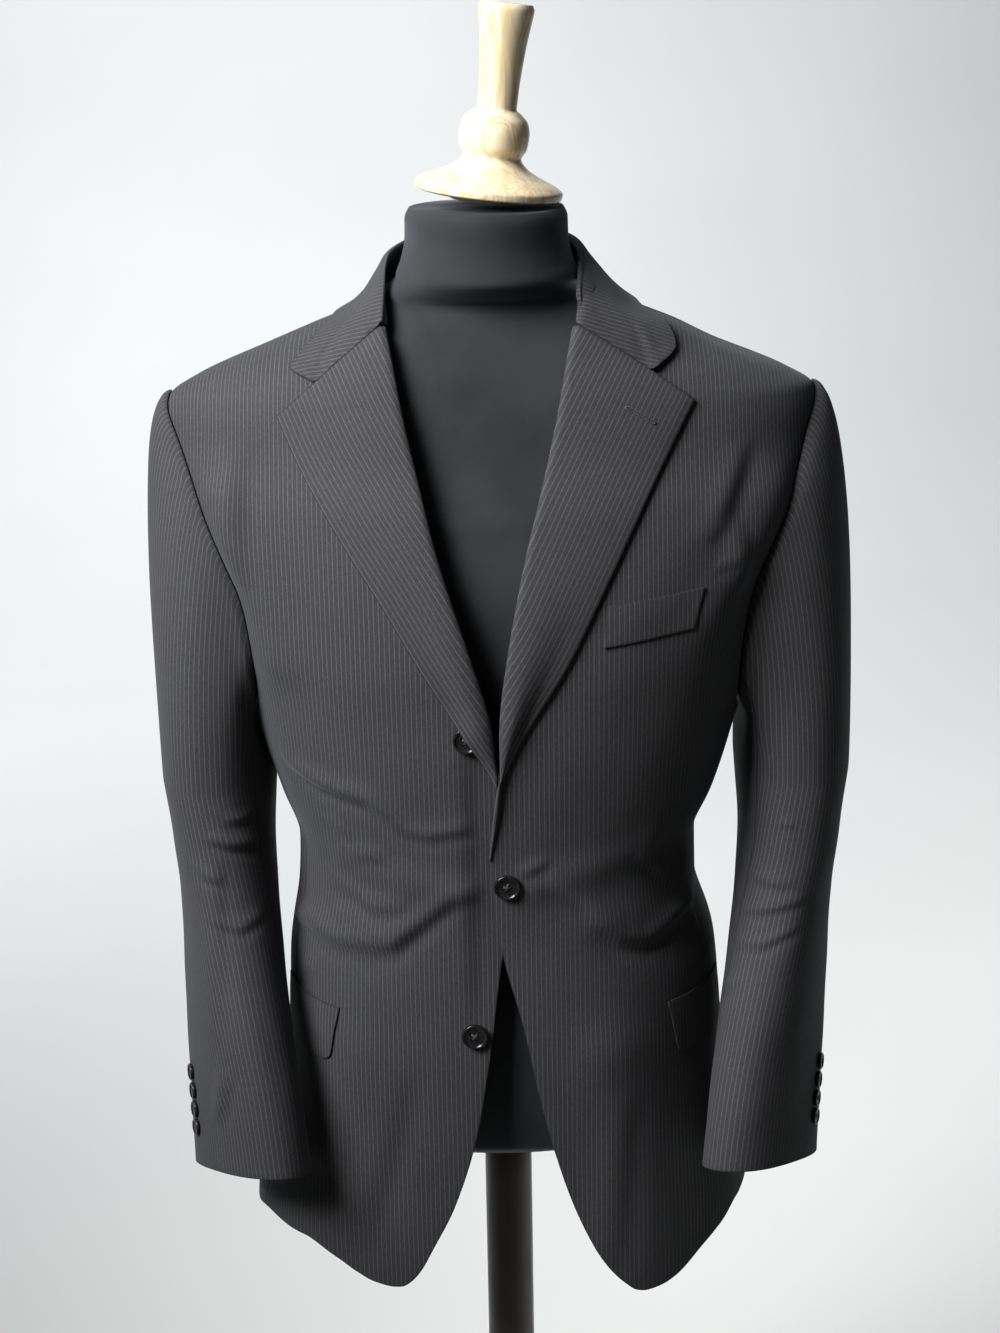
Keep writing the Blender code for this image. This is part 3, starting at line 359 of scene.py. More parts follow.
# The smaller creases of the body: wearer's side, half-width, height of the ridge, then the
# (degrees, height) points of its trough. The ridge lies to the left of the way the points run.
CREASES = (
    (RIGHT, 0.0095, 0.0041, ((27.0, 1.086), (33.0, 1.106), (46.0, 1.114), (59.0, 1.126))),
    (RIGHT, 0.0072, 0.0021, ((6.0, 1.090), (18.0, 1.082), (27.0, 1.086))),
    (RIGHT, 0.0060, 0.0017, ((40.0, 1.074), (48.0, 1.086))),
    (RIGHT, 0.0072, 0.0022, ((29.0, 1.062), (42.0, 1.058))),
    (RIGHT, 0.0081, 0.0029, ((24.0, 1.022), (35.0, 1.018), (42.0, 1.026), (52.0, 1.030))),
    (RIGHT, 0.0094, 0.0042, ((4.0, 1.038), (13.0, 1.030), (19.0, 1.014), (28.0, 0.990), (44.0, 0.982),
                             (57.0, 0.986), (80.0, 0.982))),
    (RIGHT, 0.0066, 0.0020, ((52.0, 0.950), (63.0, 0.954))),
    (RIGHT, 0.0080, 0.0014, ((25.0, 0.986), (42.0, 0.970))),
    (RIGHT, 0.0140, 0.0026, ((45.0, 1.370), (47.0, 1.320), (51.0, 1.262))),
    (RIGHT, 0.0160, 0.0020, ((22.0, 0.900), (27.0, 0.800), (30.0, 0.720))),
    (LEFT, 0.0097, 0.0038, ((10.0, 1.042), (20.0, 1.022), (31.0, 0.990), (39.0, 0.982), (57.0, 0.994),
                            (73.0, 0.994))),
    (LEFT, 0.0072, 0.0024, ((42.0, 1.042), (57.0, 1.006))),
    (LEFT, 0.0072, 0.0024, ((36.0, 1.054), (50.0, 1.030))),
    (LEFT, 0.0054, 0.0020, ((4.5, 1.052), (13.0, 1.062))),
    (LEFT, 0.0150, 0.0022, ((25.0, 0.710), (30.0, 0.822), (33.0, 0.870))),
    (LEFT, 0.0110, 0.0024, ((41.0, 1.294), (44.0, 1.318), (50.0, 1.366))),
    (LEFT, 0.0090, 0.0016, ((55.0, 1.266), (49.0, 1.300), (44.0, 1.322))),
    (LEFT, 0.0060, 0.0012, ((42.0, 1.278), (48.0, 1.278))),
    (RIGHT, 0.0075, 0.0022, ((92.0, 1.000), (118.0, 1.012), (142.0, 1.004), (166.0, 1.010))),
    (RIGHT, 0.0065, 0.0018, ((112.0, 1.052), (134.0, 1.044), (158.0, 1.052))),
    (RIGHT, 0.0080, 0.0018, ((120.0, 1.096), (138.0, 1.090), (152.0, 1.100))),
    (LEFT, 0.0075, 0.0022, ((94.0, 0.994), (116.0, 1.006), (146.0, 1.000), (168.0, 1.006))),
    (LEFT, 0.0065, 0.0018, ((110.0, 1.048), (132.0, 1.038), (160.0, 1.046))),
    (LEFT, 0.0080, 0.0018, ((122.0, 1.090), (136.0, 1.084), (150.0, 1.096))),
)

# The creases of the sleeves: wearer's side, half-width, height of the ridge, then the
# (clock degrees, row) points of its trough.
SLEEVE_CREASES = (
    (RIGHT, 0.0095, 0.0030, ((78.0, 0.426), (100.0, 0.442), (134.0, 0.456))),
    (RIGHT, 0.0080, 0.0020, ((100.0, 0.392), (116.0, 0.400), (136.0, 0.396))),
    (RIGHT, 0.0080, 0.0020, ((52.0, 0.470), (66.0, 0.498), (88.0, 0.512))),
    (RIGHT, 0.0120, 0.0016, ((36.0, 0.808), (70.0, 0.620), (99.0, 0.448))),
    (RIGHT, 0.0090, 0.0030, ((15.0, 0.928), (42.0, 0.832))),
    (RIGHT, 0.0080, 0.0018, ((62.0, 0.585), (92.0, 0.600), (128.0, 0.575))),
    (RIGHT, 0.0080, 0.0018, ((205.0, 0.520), (235.0, 0.500), (268.0, 0.520))),
    (RIGHT, 0.0080, 0.0016, ((215.0, 0.600), (250.0, 0.590), (292.0, 0.610))),
    (LEFT, 0.0075, 0.0020, ((60.0, 0.560), (98.0, 0.580), (135.0, 0.592))),
    (LEFT, 0.0075, 0.0020, ((57.0, 0.608), (92.0, 0.640), (129.0, 0.648))),
    (LEFT, 0.0150, 0.0022, ((-57.0, 0.408), (-46.0, 0.500), (-33.0, 0.592))),
    (LEFT, 0.0070, 0.0016, ((111.0, 0.704), (138.0, 0.728))),
    (LEFT, 0.0080, 0.0018, ((81.0, 0.536), (138.0, 0.528))),
    (LEFT, 0.0060, 0.0014, ((96.0, 0.424), (111.0, 0.416))),
    (LEFT, 0.0080, 0.0018, ((205.0, 0.510), (235.0, 0.495), (268.0, 0.515))),
    (LEFT, 0.0080, 0.0016, ((215.0, 0.610), (250.0, 0.600), (292.0, 0.620))),
)

# The form: height, half-width, depth in front and behind, squareness.
FORM = Table(
    (0.800, 0.140, 0.100, 0.095, 2.2),
    (0.812, 0.155, 0.112, 0.106, 2.3),
    (0.900, 0.163, 0.122, 0.104, 2.3),
    (0.980, 0.150, 0.118, 0.092, 2.3),
    (1.045, 0.141, 0.114, 0.085, 2.3),
    (1.110, 0.157, 0.118, 0.094, 2.3),
    (1.180, 0.176, 0.122, 0.108, 2.3),
    (1.250, 0.193, 0.119, 0.115, 2.2),
    (1.320, 0.213, 0.104, 0.114, 2.1),
)
# The form's neck: height and radius.
NECK = Table(
    (FORM_TOP, 0.0),
    (1.482, 0.0680),
    (1.496, 0.0635),
    (1.510, 0.0605),
    (1.526, 0.0600),
    (NECK_TOP, 0.0570),
)

# The neck cap, turned in one piece: radius and height, from its foot up.
CAP_PROFILE = (
    (0.028, -0.0050),
    (0.030, -0.0020),
    (0.050, -0.0008),
    (0.054, 0.0010),
    (0.0545, 0.0050),
    (0.049, 0.0095),
    (0.037, 0.0145),
    (0.027, 0.0200),
    (0.0215, 0.0270),
    (0.0250, 0.0340),
    (0.0258, 0.0440),
    (0.0238, 0.0525),
    (0.0180, 0.0585),
    (0.0145, 0.0615),
    (0.0148, 0.0760),
    (0.0168, 0.1040),
    (0.0202, 0.1300),
    (0.0188, 0.1345),
)

# The pockets: (degrees, height) of each corner, anticlockwise from the low inner one.
HIP_FLAP = ((44.7, 0.8900), (74.0, 0.8900), (74.0, 0.9350), (42.7, 0.9370))
BREAST_WELT = ((20.6, 1.2310), (39.6, 1.2390), (40.4, 1.2690), (20.6, 1.2615))
FLAP_ROUND = 0.012  # radius of a flap's rounded corner

# The buttonhole in the left lapel: shares of the lapel's width at its ends, and its place up it.
BUTTONHOLE_ACROSS = (0.53, 0.78)
BUTTONHOLE_UP = 0.905

# A button's face from its back round to its middle: shares of its radius and of its thickness.
BUTTON_PROFILE = (
    (0.86, 0.00), (0.92, 0.02), (0.965, 0.16), (0.995, 0.36), (1.00, 0.52), (0.985, 0.78),
    (0.955, 0.93), (0.915, 0.995), (0.87, 1.0), (0.825, 0.95), (0.79, 0.84), (0.75, 0.735),
    (0.70, 0.69), (0.60, 0.665), (0.40, 0.64), (0.20, 0.625), (0.06, 0.62),
)
HOLE_SPREAD = 0.235  # how far its holes lie from its middle, each way, as a share of its radius

# The floor's front edge, the height of the wall and the radius of the bend between them.
FLOOR_FRONT, WALL_TOP, BEND = -8.0, 8.0, 3.0


def ease(value, start, end):
    """0 before start, 1 after end, and smooth between."""
    t = np.clip((value - start) / (end - start), 0.0, 1.0)
    return t * t * (3 - 2 * t)


def mix(a, b, t):
    return a + (b - a) * t


def points(x, y, z):
    return np.stack(np.broadcast_arrays(x, y, z), axis=-1).astype(float)


def unit(vectors):
    return vectors / np.linalg.norm(vectors, axis=-1, keepdims=True)


def lay(amount, vectors):
    """Vectors scaled by an amount each."""
    return np.asarray(amount)[..., None] * vectors


def squarish(turn, power):
    """Sine and cosine of degrees round a ring, and the reach that squares the ring off."""
    s, c = np.sin(np.radians(turn)), np.cos(np.radians(turn))
    return s, c, (np.abs(s) ** power + np.abs(c) ** power) ** (-1 / power)


# ---- The body's surface ----


def half_width(side, height):
    return SECTIONS.read(1 if side == RIGHT else 2, height)


def bare(side, turn, height):
    """A point of the jacket's outer face without its folds and creases."""
    front, back, power = (SECTIONS.read(k, height) for k in (3, 4, 5))
    s, c, reach = squarish(turn, power)
    depth = np.where(c > 0, front, back)
    return points(side * half_width(side, height) * s * reach, -depth * c * reach, height)


def outward(side, turn, height):
    step, rise = 0.8, 0.002
    across = bare(side, turn + step, height) - bare(side, turn - step, height)
    up = bare(side, turn, height + rise) - bare(side, turn, height - rise)
    return unit(np.cross(across, up)) * side


def from_line(s, t, line):
    """Distance from a bent line, positive on its left, and the share of the way along it."""
    best = np.full(np.shape(s), np.inf)
    signed = np.zeros(np.shape(s))
    along = np.zeros(np.shape(s))
    spans = [math.dist(a, b) for a, b in zip(line, line[1:])]
    done = 0.0
    for (a, b), span in zip(zip(line, line[1:]), spans):
        ds, dt = b[0] - a[0], b[1] - a[1]
        k = np.clip(((s - a[0]) * ds + (t - a[1]) * dt) / span**2, 0.0, 1.0)
        gap = np.hypot(s - a[0] - k * ds, t - a[1] - k * dt)
        left = np.sign(ds * (t - a[1]) - dt * (s - a[0]))
        nearer = gap < best
        best = np.where(nearer, gap, best)
        signed = np.where(nearer, gap * left, signed)
        along = np.where(nearer, (done + k * span) / sum(spans), along)
        done += span
    return signed, along


def creased(s, t, line, width, ridge):
    """A soft trough with the cloth it pushes up beside it, fading towards both ends."""
    gap, along = from_line(s, t, line)
    fade = np.sin(np.pi * np.clip(along, 0.0, 1.0)) ** 0.6
    swell = np.exp(-(((gap - 0.9 * width) / width) ** 2))
    trough = np.exp(-((gap / (0.65 * width)) ** 2))
    return ridge * fade * (swell - 0.85 * trough)


def lift(side, turn, height):
    """How far the folds and creases lift the cloth at a place."""
    s, total = turn * ROUND, 0.0
    for of, turn_a, height_a, turn_b, height_b, width, ridge in FOLDS:
        if of == side:
            gap, _ = from_line(s, height, ((turn_a * ROUND, height_a), (turn_b * ROUND, height_b)))
            total = total + ridge * np.exp(-((gap / width) ** 2))
    depth = bpy.context.scene.suit_cloth.crease_depth
    for of, width, ridge, line in CREASES:
        if of == side:
            line = [(degrees * ROUND, z) for degrees, z in line]
            total = total + depth * creased(s, height, line, width, ridge)
    return total + depth * ripple(s, height, side)


def ripple(s, t, phase):
    """The slight unevenness of cloth that has been worn and hung."""
    broad = np.sin(31 * s + 2.1 * phase) * np.sin(23 * t + 1.3 * phase)
    close = np.sin(83 * s + 19 * t + phase) * np.sin(61 * t - 27 * s + 2 * phase)
    return 0.00055 * broad + 0.00025 * close


def body(side, turn, height, out=0.0):
    """A point of the jacket's outer face, moved out along the normal."""
    return bare(side, turn, height) + lay(out + lift(side, turn, height), outward(side, turn, height))


def turn_at(side, across, height):
    """Degrees round from the front centre to a distance from the centre line, in front."""
    power = SECTIONS.read(5, height)
    share = np.minimum(np.abs(across) / half_width(side, height), 0.9999)
    return np.degrees(np.arctan2(share, (1 - share**power) ** (1 / power))) * np.sign(across)


def columns(side, table, at):
    """The (degrees, height) at which an edge given by distance and height crosses a row."""
    first = 1 if side == RIGHT else 3
    height = table.read(first + 1, at)
    return turn_at(side, table.read(first, at), height), height


def across_lapel(side, up, share):
    """The (degrees, height) of a place on a lapel, whose rows are straight seen from the front."""
    first = 1 if side == RIGHT else 3
    x, z = (mix(ROLL_LINE.read(k, up), LAPEL_EDGE.read(k, up), share) for k in (first, first + 1))
    return turn_at(side, x, z), z


def armhole(clock):
    return ARMHOLE.read(1, clock), ARMHOLE.read(2, clock)


def hem(side, turn):
    return HEM.read(1 if side == RIGHT else 2, np.abs(turn))


def past(share, radius=RADIUS_SIDE):
    """Degrees by which an edge runs past its seam, at a radius of the body."""
    return math.degrees(SEAM_REACH / radius) * share


def girth(side, turn, height):
    """Metres round the body from the front centre, so that the stripes hang straight."""
    steps = np.linspace(0.0, 1.0, 25)
    turn, height = np.broadcast_arrays(turn, height)
    round_to = np.abs(turn)[..., None] * steps
    path = bare(side, round_to, np.broadcast_to(height[..., None], round_to.shape))
    length = np.linalg.norm(np.diff(path, axis=-2), axis=-1).sum(axis=-1)
    return length * np.sign(turn)


def straight_up(side, x, turn):
    """Where a stripe at a distance from the centre line lies round the chest."""
    # Near the side the chest turns away fast, so from there on the stripes keep even distances.
    limit = 0.80 * half_width(side, CHEST)
    inside = np.minimum(np.abs(x), limit)
    chest = girth(side, turn_at(side, inside, np.full(np.shape(x), CHEST)), CHEST)
    chest = chest + 1.25 * (np.abs(x) - inside)
    return np.where(turn > 90, girth(side, 180.0, CHEST) - chest, chest * np.sign(turn))


def body_chart(side, turn, height, point):
    """Cloth coordinates: metres across the stripes and along them."""
    low = girth(side, turn, height)
    high = straight_up(side, point[..., 0], turn)
    return np.stack((side * mix(low, high, ease(height, CHEST, 1.39)), height), axis=-1)


# ---- Panels ----


def spread(rows, v, top_rows=0):
    """Reads a list of rows as a curve, with the armhole's rows added above it."""
    rows = list(rows) + [mix(BREAK, 1.0, k / top_rows) for k in range(1, top_rows + 1)]
    return np.interp(v, np.linspace(0.0, 1.0, len(rows)), rows)


def front_inner(side, row):
    """A front's edge from the hem to the gorge, then round the neck to the shoulder seam."""
    low_turn, low_height = columns(side, FRONT_EDGE, row)
    share = (row - BREAK) / (NECK_ROW - BREAK)
    roll_turn, roll_height = columns(side, ROLL_LINE, share)
    t = np.clip((row - NECK_ROW) / NECK_ROWS, 0.0, 1.0)
    neck_turn, neck_height = mix(roll_turn, 90.0, t), mix(roll_height, NECK_SIDE, ease(t, 0, 1))
    turn = np.where(row <= BREAK, low_turn, np.where(share <= 1, roll_turn, neck_turn))
    return turn, np.where(row <= BREAK, low_height, np.where(share <= 1, roll_height, neck_height))


def outer_edge(side, row, seam, top, clock, last):
    """The edge of a front or a back from the hem up its side seam, then round the armhole."""
    share = np.clip((row - BREAK) / (1 - BREAK), 0, 1)
    arm_turn, arm_height = armhole(mix(clock, last, share))
    height = np.where(row <= BREAK, mix(hem(side, seam), top, row / BREAK), arm_height)
    return np.where(row <= BREAK, seam, arm_turn), height


def crowded(u, row):
    """Places across a panel, crowding towards the armhole in its upper rows."""
    return mix(u, 1 - (1 - u) ** CROWDING, ease(row, BREAK, CROWDED_ROW))


def under_lap(side, turn, height):
    """How far the wearer's right front steps back to pass behind the left one."""
    if side == LEFT:
        return np.zeros(np.shape(turn))
    x = bare(side, turn, height)[..., 0]
    fades = ease(height, *LAP_LOW) * (1 - ease(height, *LAP_HIGH))
    return -LAP * ease(x, *LAP_ACROSS) * fades


def front_places(side):
    def place(u, v):
        row = spread(FRONT_ROWS, v, ARM_ROWS)
        turn_a, height_a = front_inner(side, row)
        turn_b, height_b = outer_edge(side, row, SIDE_SEAM, SIDE_TOP, SIDE_CLOCK, 0.0)
        # The cloth's own edge lies inside the lapel's roll.
        apart = bare(side, turn_a + 0.5, height_a) - bare(side, turn_a - 0.5, height_a)
        reach = np.linalg.norm(apart, axis=-1) / math.radians(1.0)
        inset = ease(row, *INSET_ROWS[0]) * (1 - ease(row, *INSET_ROWS[1]))
        turn_a = turn_a + inset * np.degrees(ROLL_INSET / reach)
        u = crowded(u, row)
        turn = mix(turn_a, turn_b, u)
        height = mix(height_a, height_b, u)
        # Its lower edge follows the hem between its corner and the side seam.
        low = 1 - ease(row, 0.0, HEM_ROWS)
        corner_turn, corner_height = columns(side, FRONT_EDGE, 0.0)
        straight = mix(corner_height, hem(side, SIDE_SEAM), u)
        height = height + low * (hem(side, mix(corner_turn, SIDE_SEAM, u)) - straight)
        turn = turn + past(1) * u + ease(row, *SHOULDER_ROWS) * past(1, RADIUS_SHOULDER)
        point = body(side, turn, height, under_lap(side, turn, height))
        return point, body_chart(side, turn, height, point)

    return place


def side_places(side):
    def place(u, v):
        clock = mix(SIDE_CLOCK, BACK_CLOCK, u)
        turn = mix(mix(SIDE_SEAM, BACK_SEAM, u), ARMHOLE.read(1, clock), v)
        turn = turn - past(2) * (1 - 2 * u)
        height = mix(hem(side, turn), ARMHOLE.read(2, clock) - SIDE_DROP, v)
        point = body(side, turn, height)
        middle = girth(side, np.full(np.shape(turn), SIDE_MIDDLE), height)
        return point, np.stack((side * (girth(side, turn, height) - middle), height), axis=-1)

    return place


def back_places(side):
    def place(u, v):
        row = spread(BACK_ROWS, v, ARM_ROWS)
        t = np.clip((row - NECK_ROW) / NECK_ROWS, 0.0, 1.0)
        centre = mix(hem(side, 180.0), NECK_BACK, row / NECK_ROW)
        turn_a = mix(180.0, 90.0, t)
        height_a = np.where(row <= NECK_ROW, centre, mix(NECK_BACK, NECK_SIDE, t))
        turn_b, height_b = outer_edge(side, row, BACK_SEAM, BACK_TOP, BACK_CLOCK, 360.0)
        turn_a = turn_a + past(1, RADIUS_BACK) * (1 - ease(row, NECK_ROW, 0.96))
        share = crowded(u, row)
        turn = mix(turn_a, turn_b - past(1.5), share)
        turn = turn - ease(row, *SHOULDER_ROWS) * past(1, RADIUS_SHOULDER)
        height = mix(height_a, height_b, share)
        out = np.zeros(np.shape(turn))
        if side == RIGHT:
            # The under half of the vent runs on past the centre, one cloth further in.
            vent = 1 - ease(row, VENT_ROW - VENT_EASE, VENT_ROW + VENT_EASE)
            whole = 1 - ease(row, VENT_ROW - VENT_WHOLE, VENT_ROW - VENT_EASE)
            lapped = mix(180.0, 180.0 + VENT_LAP, whole)
            near = np.clip(u * 8, 0.0, 2.0)
            ends = mix(turn_a, turn_b, 0.25)
            over = mix(lapped, VENT_EDGE, near)
            run = np.where(near < 1, over, mix(VENT_EDGE, ends, near - 1))
            turn = np.where(near < 2, mix(turn, run, vent), turn)
            out = -LAP * vent * np.clip(2 - near, 0.0, 1.0)
        point = body(side, turn, height, out)
        chart = body_chart(side, turn, height, point)
        chart[..., 0] = chart[..., 0] - side * girth(side, np.full(np.shape(turn), 180.0), height)
        return point, chart

    return place


# Below the break a lapel tapers into the front's edge: way along it (as a share of the lapel, and
# negative), width across and rise of its outer edge, how much of its height is left.
TAPER = {
    LEFT: Table(
        (-0.20, 0.0005, 0.0000, 0.25),
        (-0.13, 0.0022, 0.0004, 0.55),
        (-0.07, 0.0036, 0.0012, 0.80),
        (0.00, 0.0024, 0.0035, 1.00),
    ),
    RIGHT: Table(
        (-0.035, 0.0004, 0.0000, 0.30),
        (-0.02, 0.0024, 0.0006, 0.70),
        (0.00, 0.0055, 0.0020, 1.00),
    ),
}


def tapered(side, up, share):
    """The (degrees, height) of a place on a lapel or on the taper below it."""
    turn, height = across_lapel(side, up, share)
    low_turn, low_height = columns(side, FRONT_EDGE, BREAK + 0.5 * up)
    x = side * bare(side, low_turn, low_height)[..., 0]
    if side == RIGHT:
        # The under lapel dips behind the upper one.
        x, low_height = (mix(*ends, up / TAPER[side].keys[0]) for ends in UNDER_LAPEL)
    low_height = low_height + share * TAPER[side].read(2, up)
    low_turn = turn_at(side, x + share * TAPER[side].read(1, up), low_height)
    return np.where(up < 0, low_turn, turn), np.where(up < 0, low_height, height)


def lapel_up(side, v):
    return mix(TAPER[side].keys[0], 1.0, v)


def lapel_places(side):
    button = body(side, turn_at(side, *TOP_BUTTON), TOP_BUTTON[1])

    def place(u, v):
        share, centre, out = (ROLLED.read(k, u * 6) for k in (1, 2, 3))
        up = lapel_up(side, v)
        out = np.where(out < 0, out * mix(0.35, 1.0, ease(up, 0.05, 0.3)), out)
        out = out * np.where(up < 0, TAPER[side].read(3, up), 1.0)
        edge, roll = (body(side, *tapered(side, up, at)) for at in (1.0, 0.0))
        toward = edge - roll
        belly = ROLL_BELLY * (1 - ease(up, 0.10, 0.55)) * np.sin(np.pi * np.minimum(share + 0.25, 1.0))
        turn, height = tapered(side, up, share)
        point = body(side, turn, height, out + belly * ease(up, 0.0, 0.15))
        wrapped = centre * np.maximum(ease(up, -0.05, 0.20), 0.28)
        point = point - lay(wrapped, unit(toward))
        if side == RIGHT:
            # The lapel rides up over the top button.
            apart = np.linalg.norm(body(side, turn, height) - button, axis=-1)
            rise = BUTTON_LIFT * np.exp(-((apart / LIFT_REACH) ** 2)) * ease(share, 0.2, 0.9)
            point = point + lay(rise, outward(side, turn, height))
        # The gorge seam, where the collar is sewn on.
        gorge = np.clip(up * 20 - 19, 0.0, 1.0)
        point[..., 2] -= gorge * (1.5 * SEAM + 0.6 * centre)
        width = np.linalg.norm(toward, axis=-1)
        turned = np.interp(u * 6, (0.0, 3.0), (WRAPPED, 0.0))
        return point, np.stack((side * ((share - 1) * width + turned), up * LAPEL_RUN), axis=-1)

    return place


def collar_columns(side, at):
    """The stops across the collar at places along one half of it."""
    table = COLLAR[side]
    seam = body(side, table.read(1, at), table.read(2, at), -COLLAR_SUNK)
    roll = points(side * table.read(3, at), table.read(4, at), table.read(5, at))
    turn_a, height_a, turn_b, height_b = (table.read(k, at) for k in (6, 7, 8, 9))
    meets = body(side, turn_a, height_a, COLLAR_OUT + COLLAR_FALL)
    to_seam, to_fall = unit(seam - roll), unit(meets - roll)
    down, apart = unit(to_seam + to_fall), unit(to_fall - to_seam)
    inner = roll + down * COLLAR_ROLL - apart * COLLAR_ROLL
    outer = roll + down * COLLAR_ROLL + apart * COLLAR_ROLL
    foot = seam + (roll - seam) * 0.06 + np.array((0, 0, 0.0008))
    path = (foot, inner, roll, outer, meets)
    ended = ease(at, *ENDING)
    found = []
    for stop in COLLAR_STOPS:
        if stop > 4.0:
            t = stop - 4.0
            turn, height = mix(turn_a, turn_b, t), mix(height_a, height_b, t)
            out = mix(COLLAR_OUT + COLLAR_FALL, COLLAR_OUT, t) + COLLAR_END * (1 - t) * ended
            found.append(body(side, turn, height, out))
            continue
        k = min(int(stop), 3)
        point = mix(path[k], path[k + 1], stop - k)
        if k == 3:
            # The collar's end lies along the top of the lapel, as far as the notch.
            turn, height = across_lapel(side, np.ones(np.shape(at)), mix(0.04, NOTCH_SHARE, stop - 3))
            point = mix(point, body(side, turn, height, GORGE_OUT), ended[..., None])
        found.append(point)
    return np.stack(found, axis=-2), roll


def along_roll(side, at, roll, point):
    """Metres along the collar's roll at which a stripe square to it meets a point."""
    steps = np.linspace(0.0, 1.0, 201)
    table = COLLAR[side]
    line = points(side * table.read(3, steps), table.read(4, steps), table.read(5, steps))
    spans = np.linalg.norm(np.diff(line, axis=0), axis=-1)
    length = np.interp(at, steps, np.concatenate(((0.0,), np.cumsum(spans))))
    way = np.gradient(line, axis=0)
    way = unit(np.stack([np.interp(at, steps, way[:, k]) for k in range(3)], axis=-1))
    return side * (length + np.sum((point - roll) * way, axis=-1))


def collar_places(u, v):
    at = np.abs(v * 2 - 1)
    (left, left_roll), (right, right_roll) = collar_columns(LEFT, at), collar_columns(RIGHT, at)
    stops = np.where((v >= 0.5)[:, None, None], left, right)
    place = u * (len(COLLAR_STOPS) - 1)
    point = np.empty((len(u), 3))
    for axis in range(3):
        rows = np.concatenate((np.arange(len(COLLAR_STOPS))[:, None], stops[..., axis].T), axis=1)
        table = Table(*rows)
        point[:, axis] = table.read(np.arange(1, len(u) + 1), place)
    left_way = along_roll(LEFT, at, left_roll, point)
    across = np.where(v >= 0.5, left_way, along_roll(RIGHT, at, right_roll, point))
    return point, np.stack((across, u * COLLAR_RUN), axis=-1)


def flat_places(side, corners, sewn, rounding=0.0):
    """A piece lying on a front: corners are (degrees, height) anticlockwise from the low inner one."""
    (ta, za), (tb, zb), (tc, zc), (td, zd) = corners
    wide, tall = (tb - ta) * ROUND, zd - za

    def place(u, v):
        turn = mix(mix(ta, tb, u), mix(td, tc, u), v)
        height = mix(mix(za, zb, u), mix(zd, zc, u), v)
        # The lower corner nearest the front is rounded off.
        inward = np.clip(1 - (turn - ta) * ROUND / max(rounding, 1e-6), 0.0, 1.0)
        height = height + (1 - v) * rounding * (1 - np.sqrt(1 - inward**2))
        from_edge = {"start": u * wide, "end": (1 - u) * wide, "low": v * tall, "high": (1 - v) * tall}
        seam = np.minimum.reduce([from_edge[edge] for edge in sewn])
        out = FLAT_CLOTH + mix(*FLAT_OUT, ease(seam, 0.0, FLAT_EASE))
        point = body(side, turn, height, out)
        return point, body_chart(side, turn, height, point)

    return place


# ---- Sleeves ----


def sleeve_ring(side, clock, height):
    """A point of a level ring of the sleeve, turned and tipped."""
    middle = SLEEVE.read(1 if side == RIGHT else 2, height)
    depth, p, q, twist, tip = (SLEEVE.read(k, height) for k in (3, 4, 5, 6, 7))
    s, c, reach = squarish(clock, SLEEVE_POWER)
    x, y = p * c * reach, -q * s * reach
    tc, ts = np.cos(np.radians(twist)), np.sin(np.radians(twist))
    back = -x * ts + y * tc
    return points(side * (middle + x * tc + y * ts), depth + back, height - tip * back)


def sleeve_smooth(side, clock, row):
    """A point of the sleeve's inner face: clock degrees round, row 0 at the armhole, 1 at the cuff."""
    clock = np.mod(clock, 360.0)
    cuff, first = SLEEVE.keys[0], SLEEVE.keys[-1]
    low = sleeve_ring(side, clock, mix(first, cuff, (row - SLEEVE_HEAD) / (1 - SLEEVE_HEAD)))
    turn, height = armhole(clock)
    end = sleeve_ring(side, clock, first)
    top = ease(np.cos(np.radians(clock)), -0.2, 1.0)
    under = ease(-np.cos(np.radians(clock)), 0.3, 1.0)
    zero = np.zeros(np.shape(clock))
    start = body(side, turn, height, SEAM) + points(side * (SEAM + UNDER_OUT * under), zero, zero)
    leave = start + points(side * mix(*HEAD_OUT, top), zero, mix(*HEAD_UP, top) - UNDER_DOWN * under)
    drop = mix(*HEAD_DROP, top) * (start[..., 2] - end[..., 2])
    arrive = end + points(side * TOP_OUT * top, zero, drop)
    t = np.clip(row / SLEEVE_HEAD, 0.0, 1.0)
    r = 1 - t
    head = lay(r**3, start) + lay(3 * t * r * r, leave) + lay(3 * t * t * r, arrive) + lay(t**3, end)
    return np.where((row >= SLEEVE_HEAD)[..., None], low, head)


def sleeve_outward(side, clock, row):
    step, rows = 1.5, 0.008
    across = sleeve_smooth(side, clock + step, row) - sleeve_smooth(side, clock - step, row)
    low, high = np.maximum(row - rows, 0.0), np.minimum(row + rows, 1.0)
    down = sleeve_smooth(side, clock, high) - sleeve_smooth(side, clock, low)
    return unit(np.cross(across, down)) * side


def sleeve_lift(side, clock, row):
    """How far the creases lift a sleeve's cloth, which lies flat at the armhole."""
    depth = bpy.context.scene.suit_cloth.crease_depth
    clock = np.mod(clock + SLEEVE_CUT, 360.0) - SLEEVE_CUT
    s, t = clock * ROUND_ARM, -row * SLEEVE_LENGTH
    total = ripple(s, t, side + 3)
    for of, width, ridge, line in SLEEVE_CREASES:
        if of == side:
            line = [(degrees * ROUND_ARM, -at * SLEEVE_LENGTH) for degrees, at in line]
            total = total + creased(s, t, line, width, ridge)
    return depth * total * ease(row, 0.0, 0.05)


def sleeve_point(side, clock, row):
    """A point of the sleeve's outer face, with its creases."""
    # Pressed thinner where it's sewn in.
    sewn = 1 - 0.6 * (1 - ease(row, 0.0, 0.045))
    out = bpy.context.scene.suit_cloth.thickness * sewn + sleeve_lift(side, clock, row)
    return sleeve_smooth(side, clock, row) + lay(out, sleeve_outward(side, clock, row))


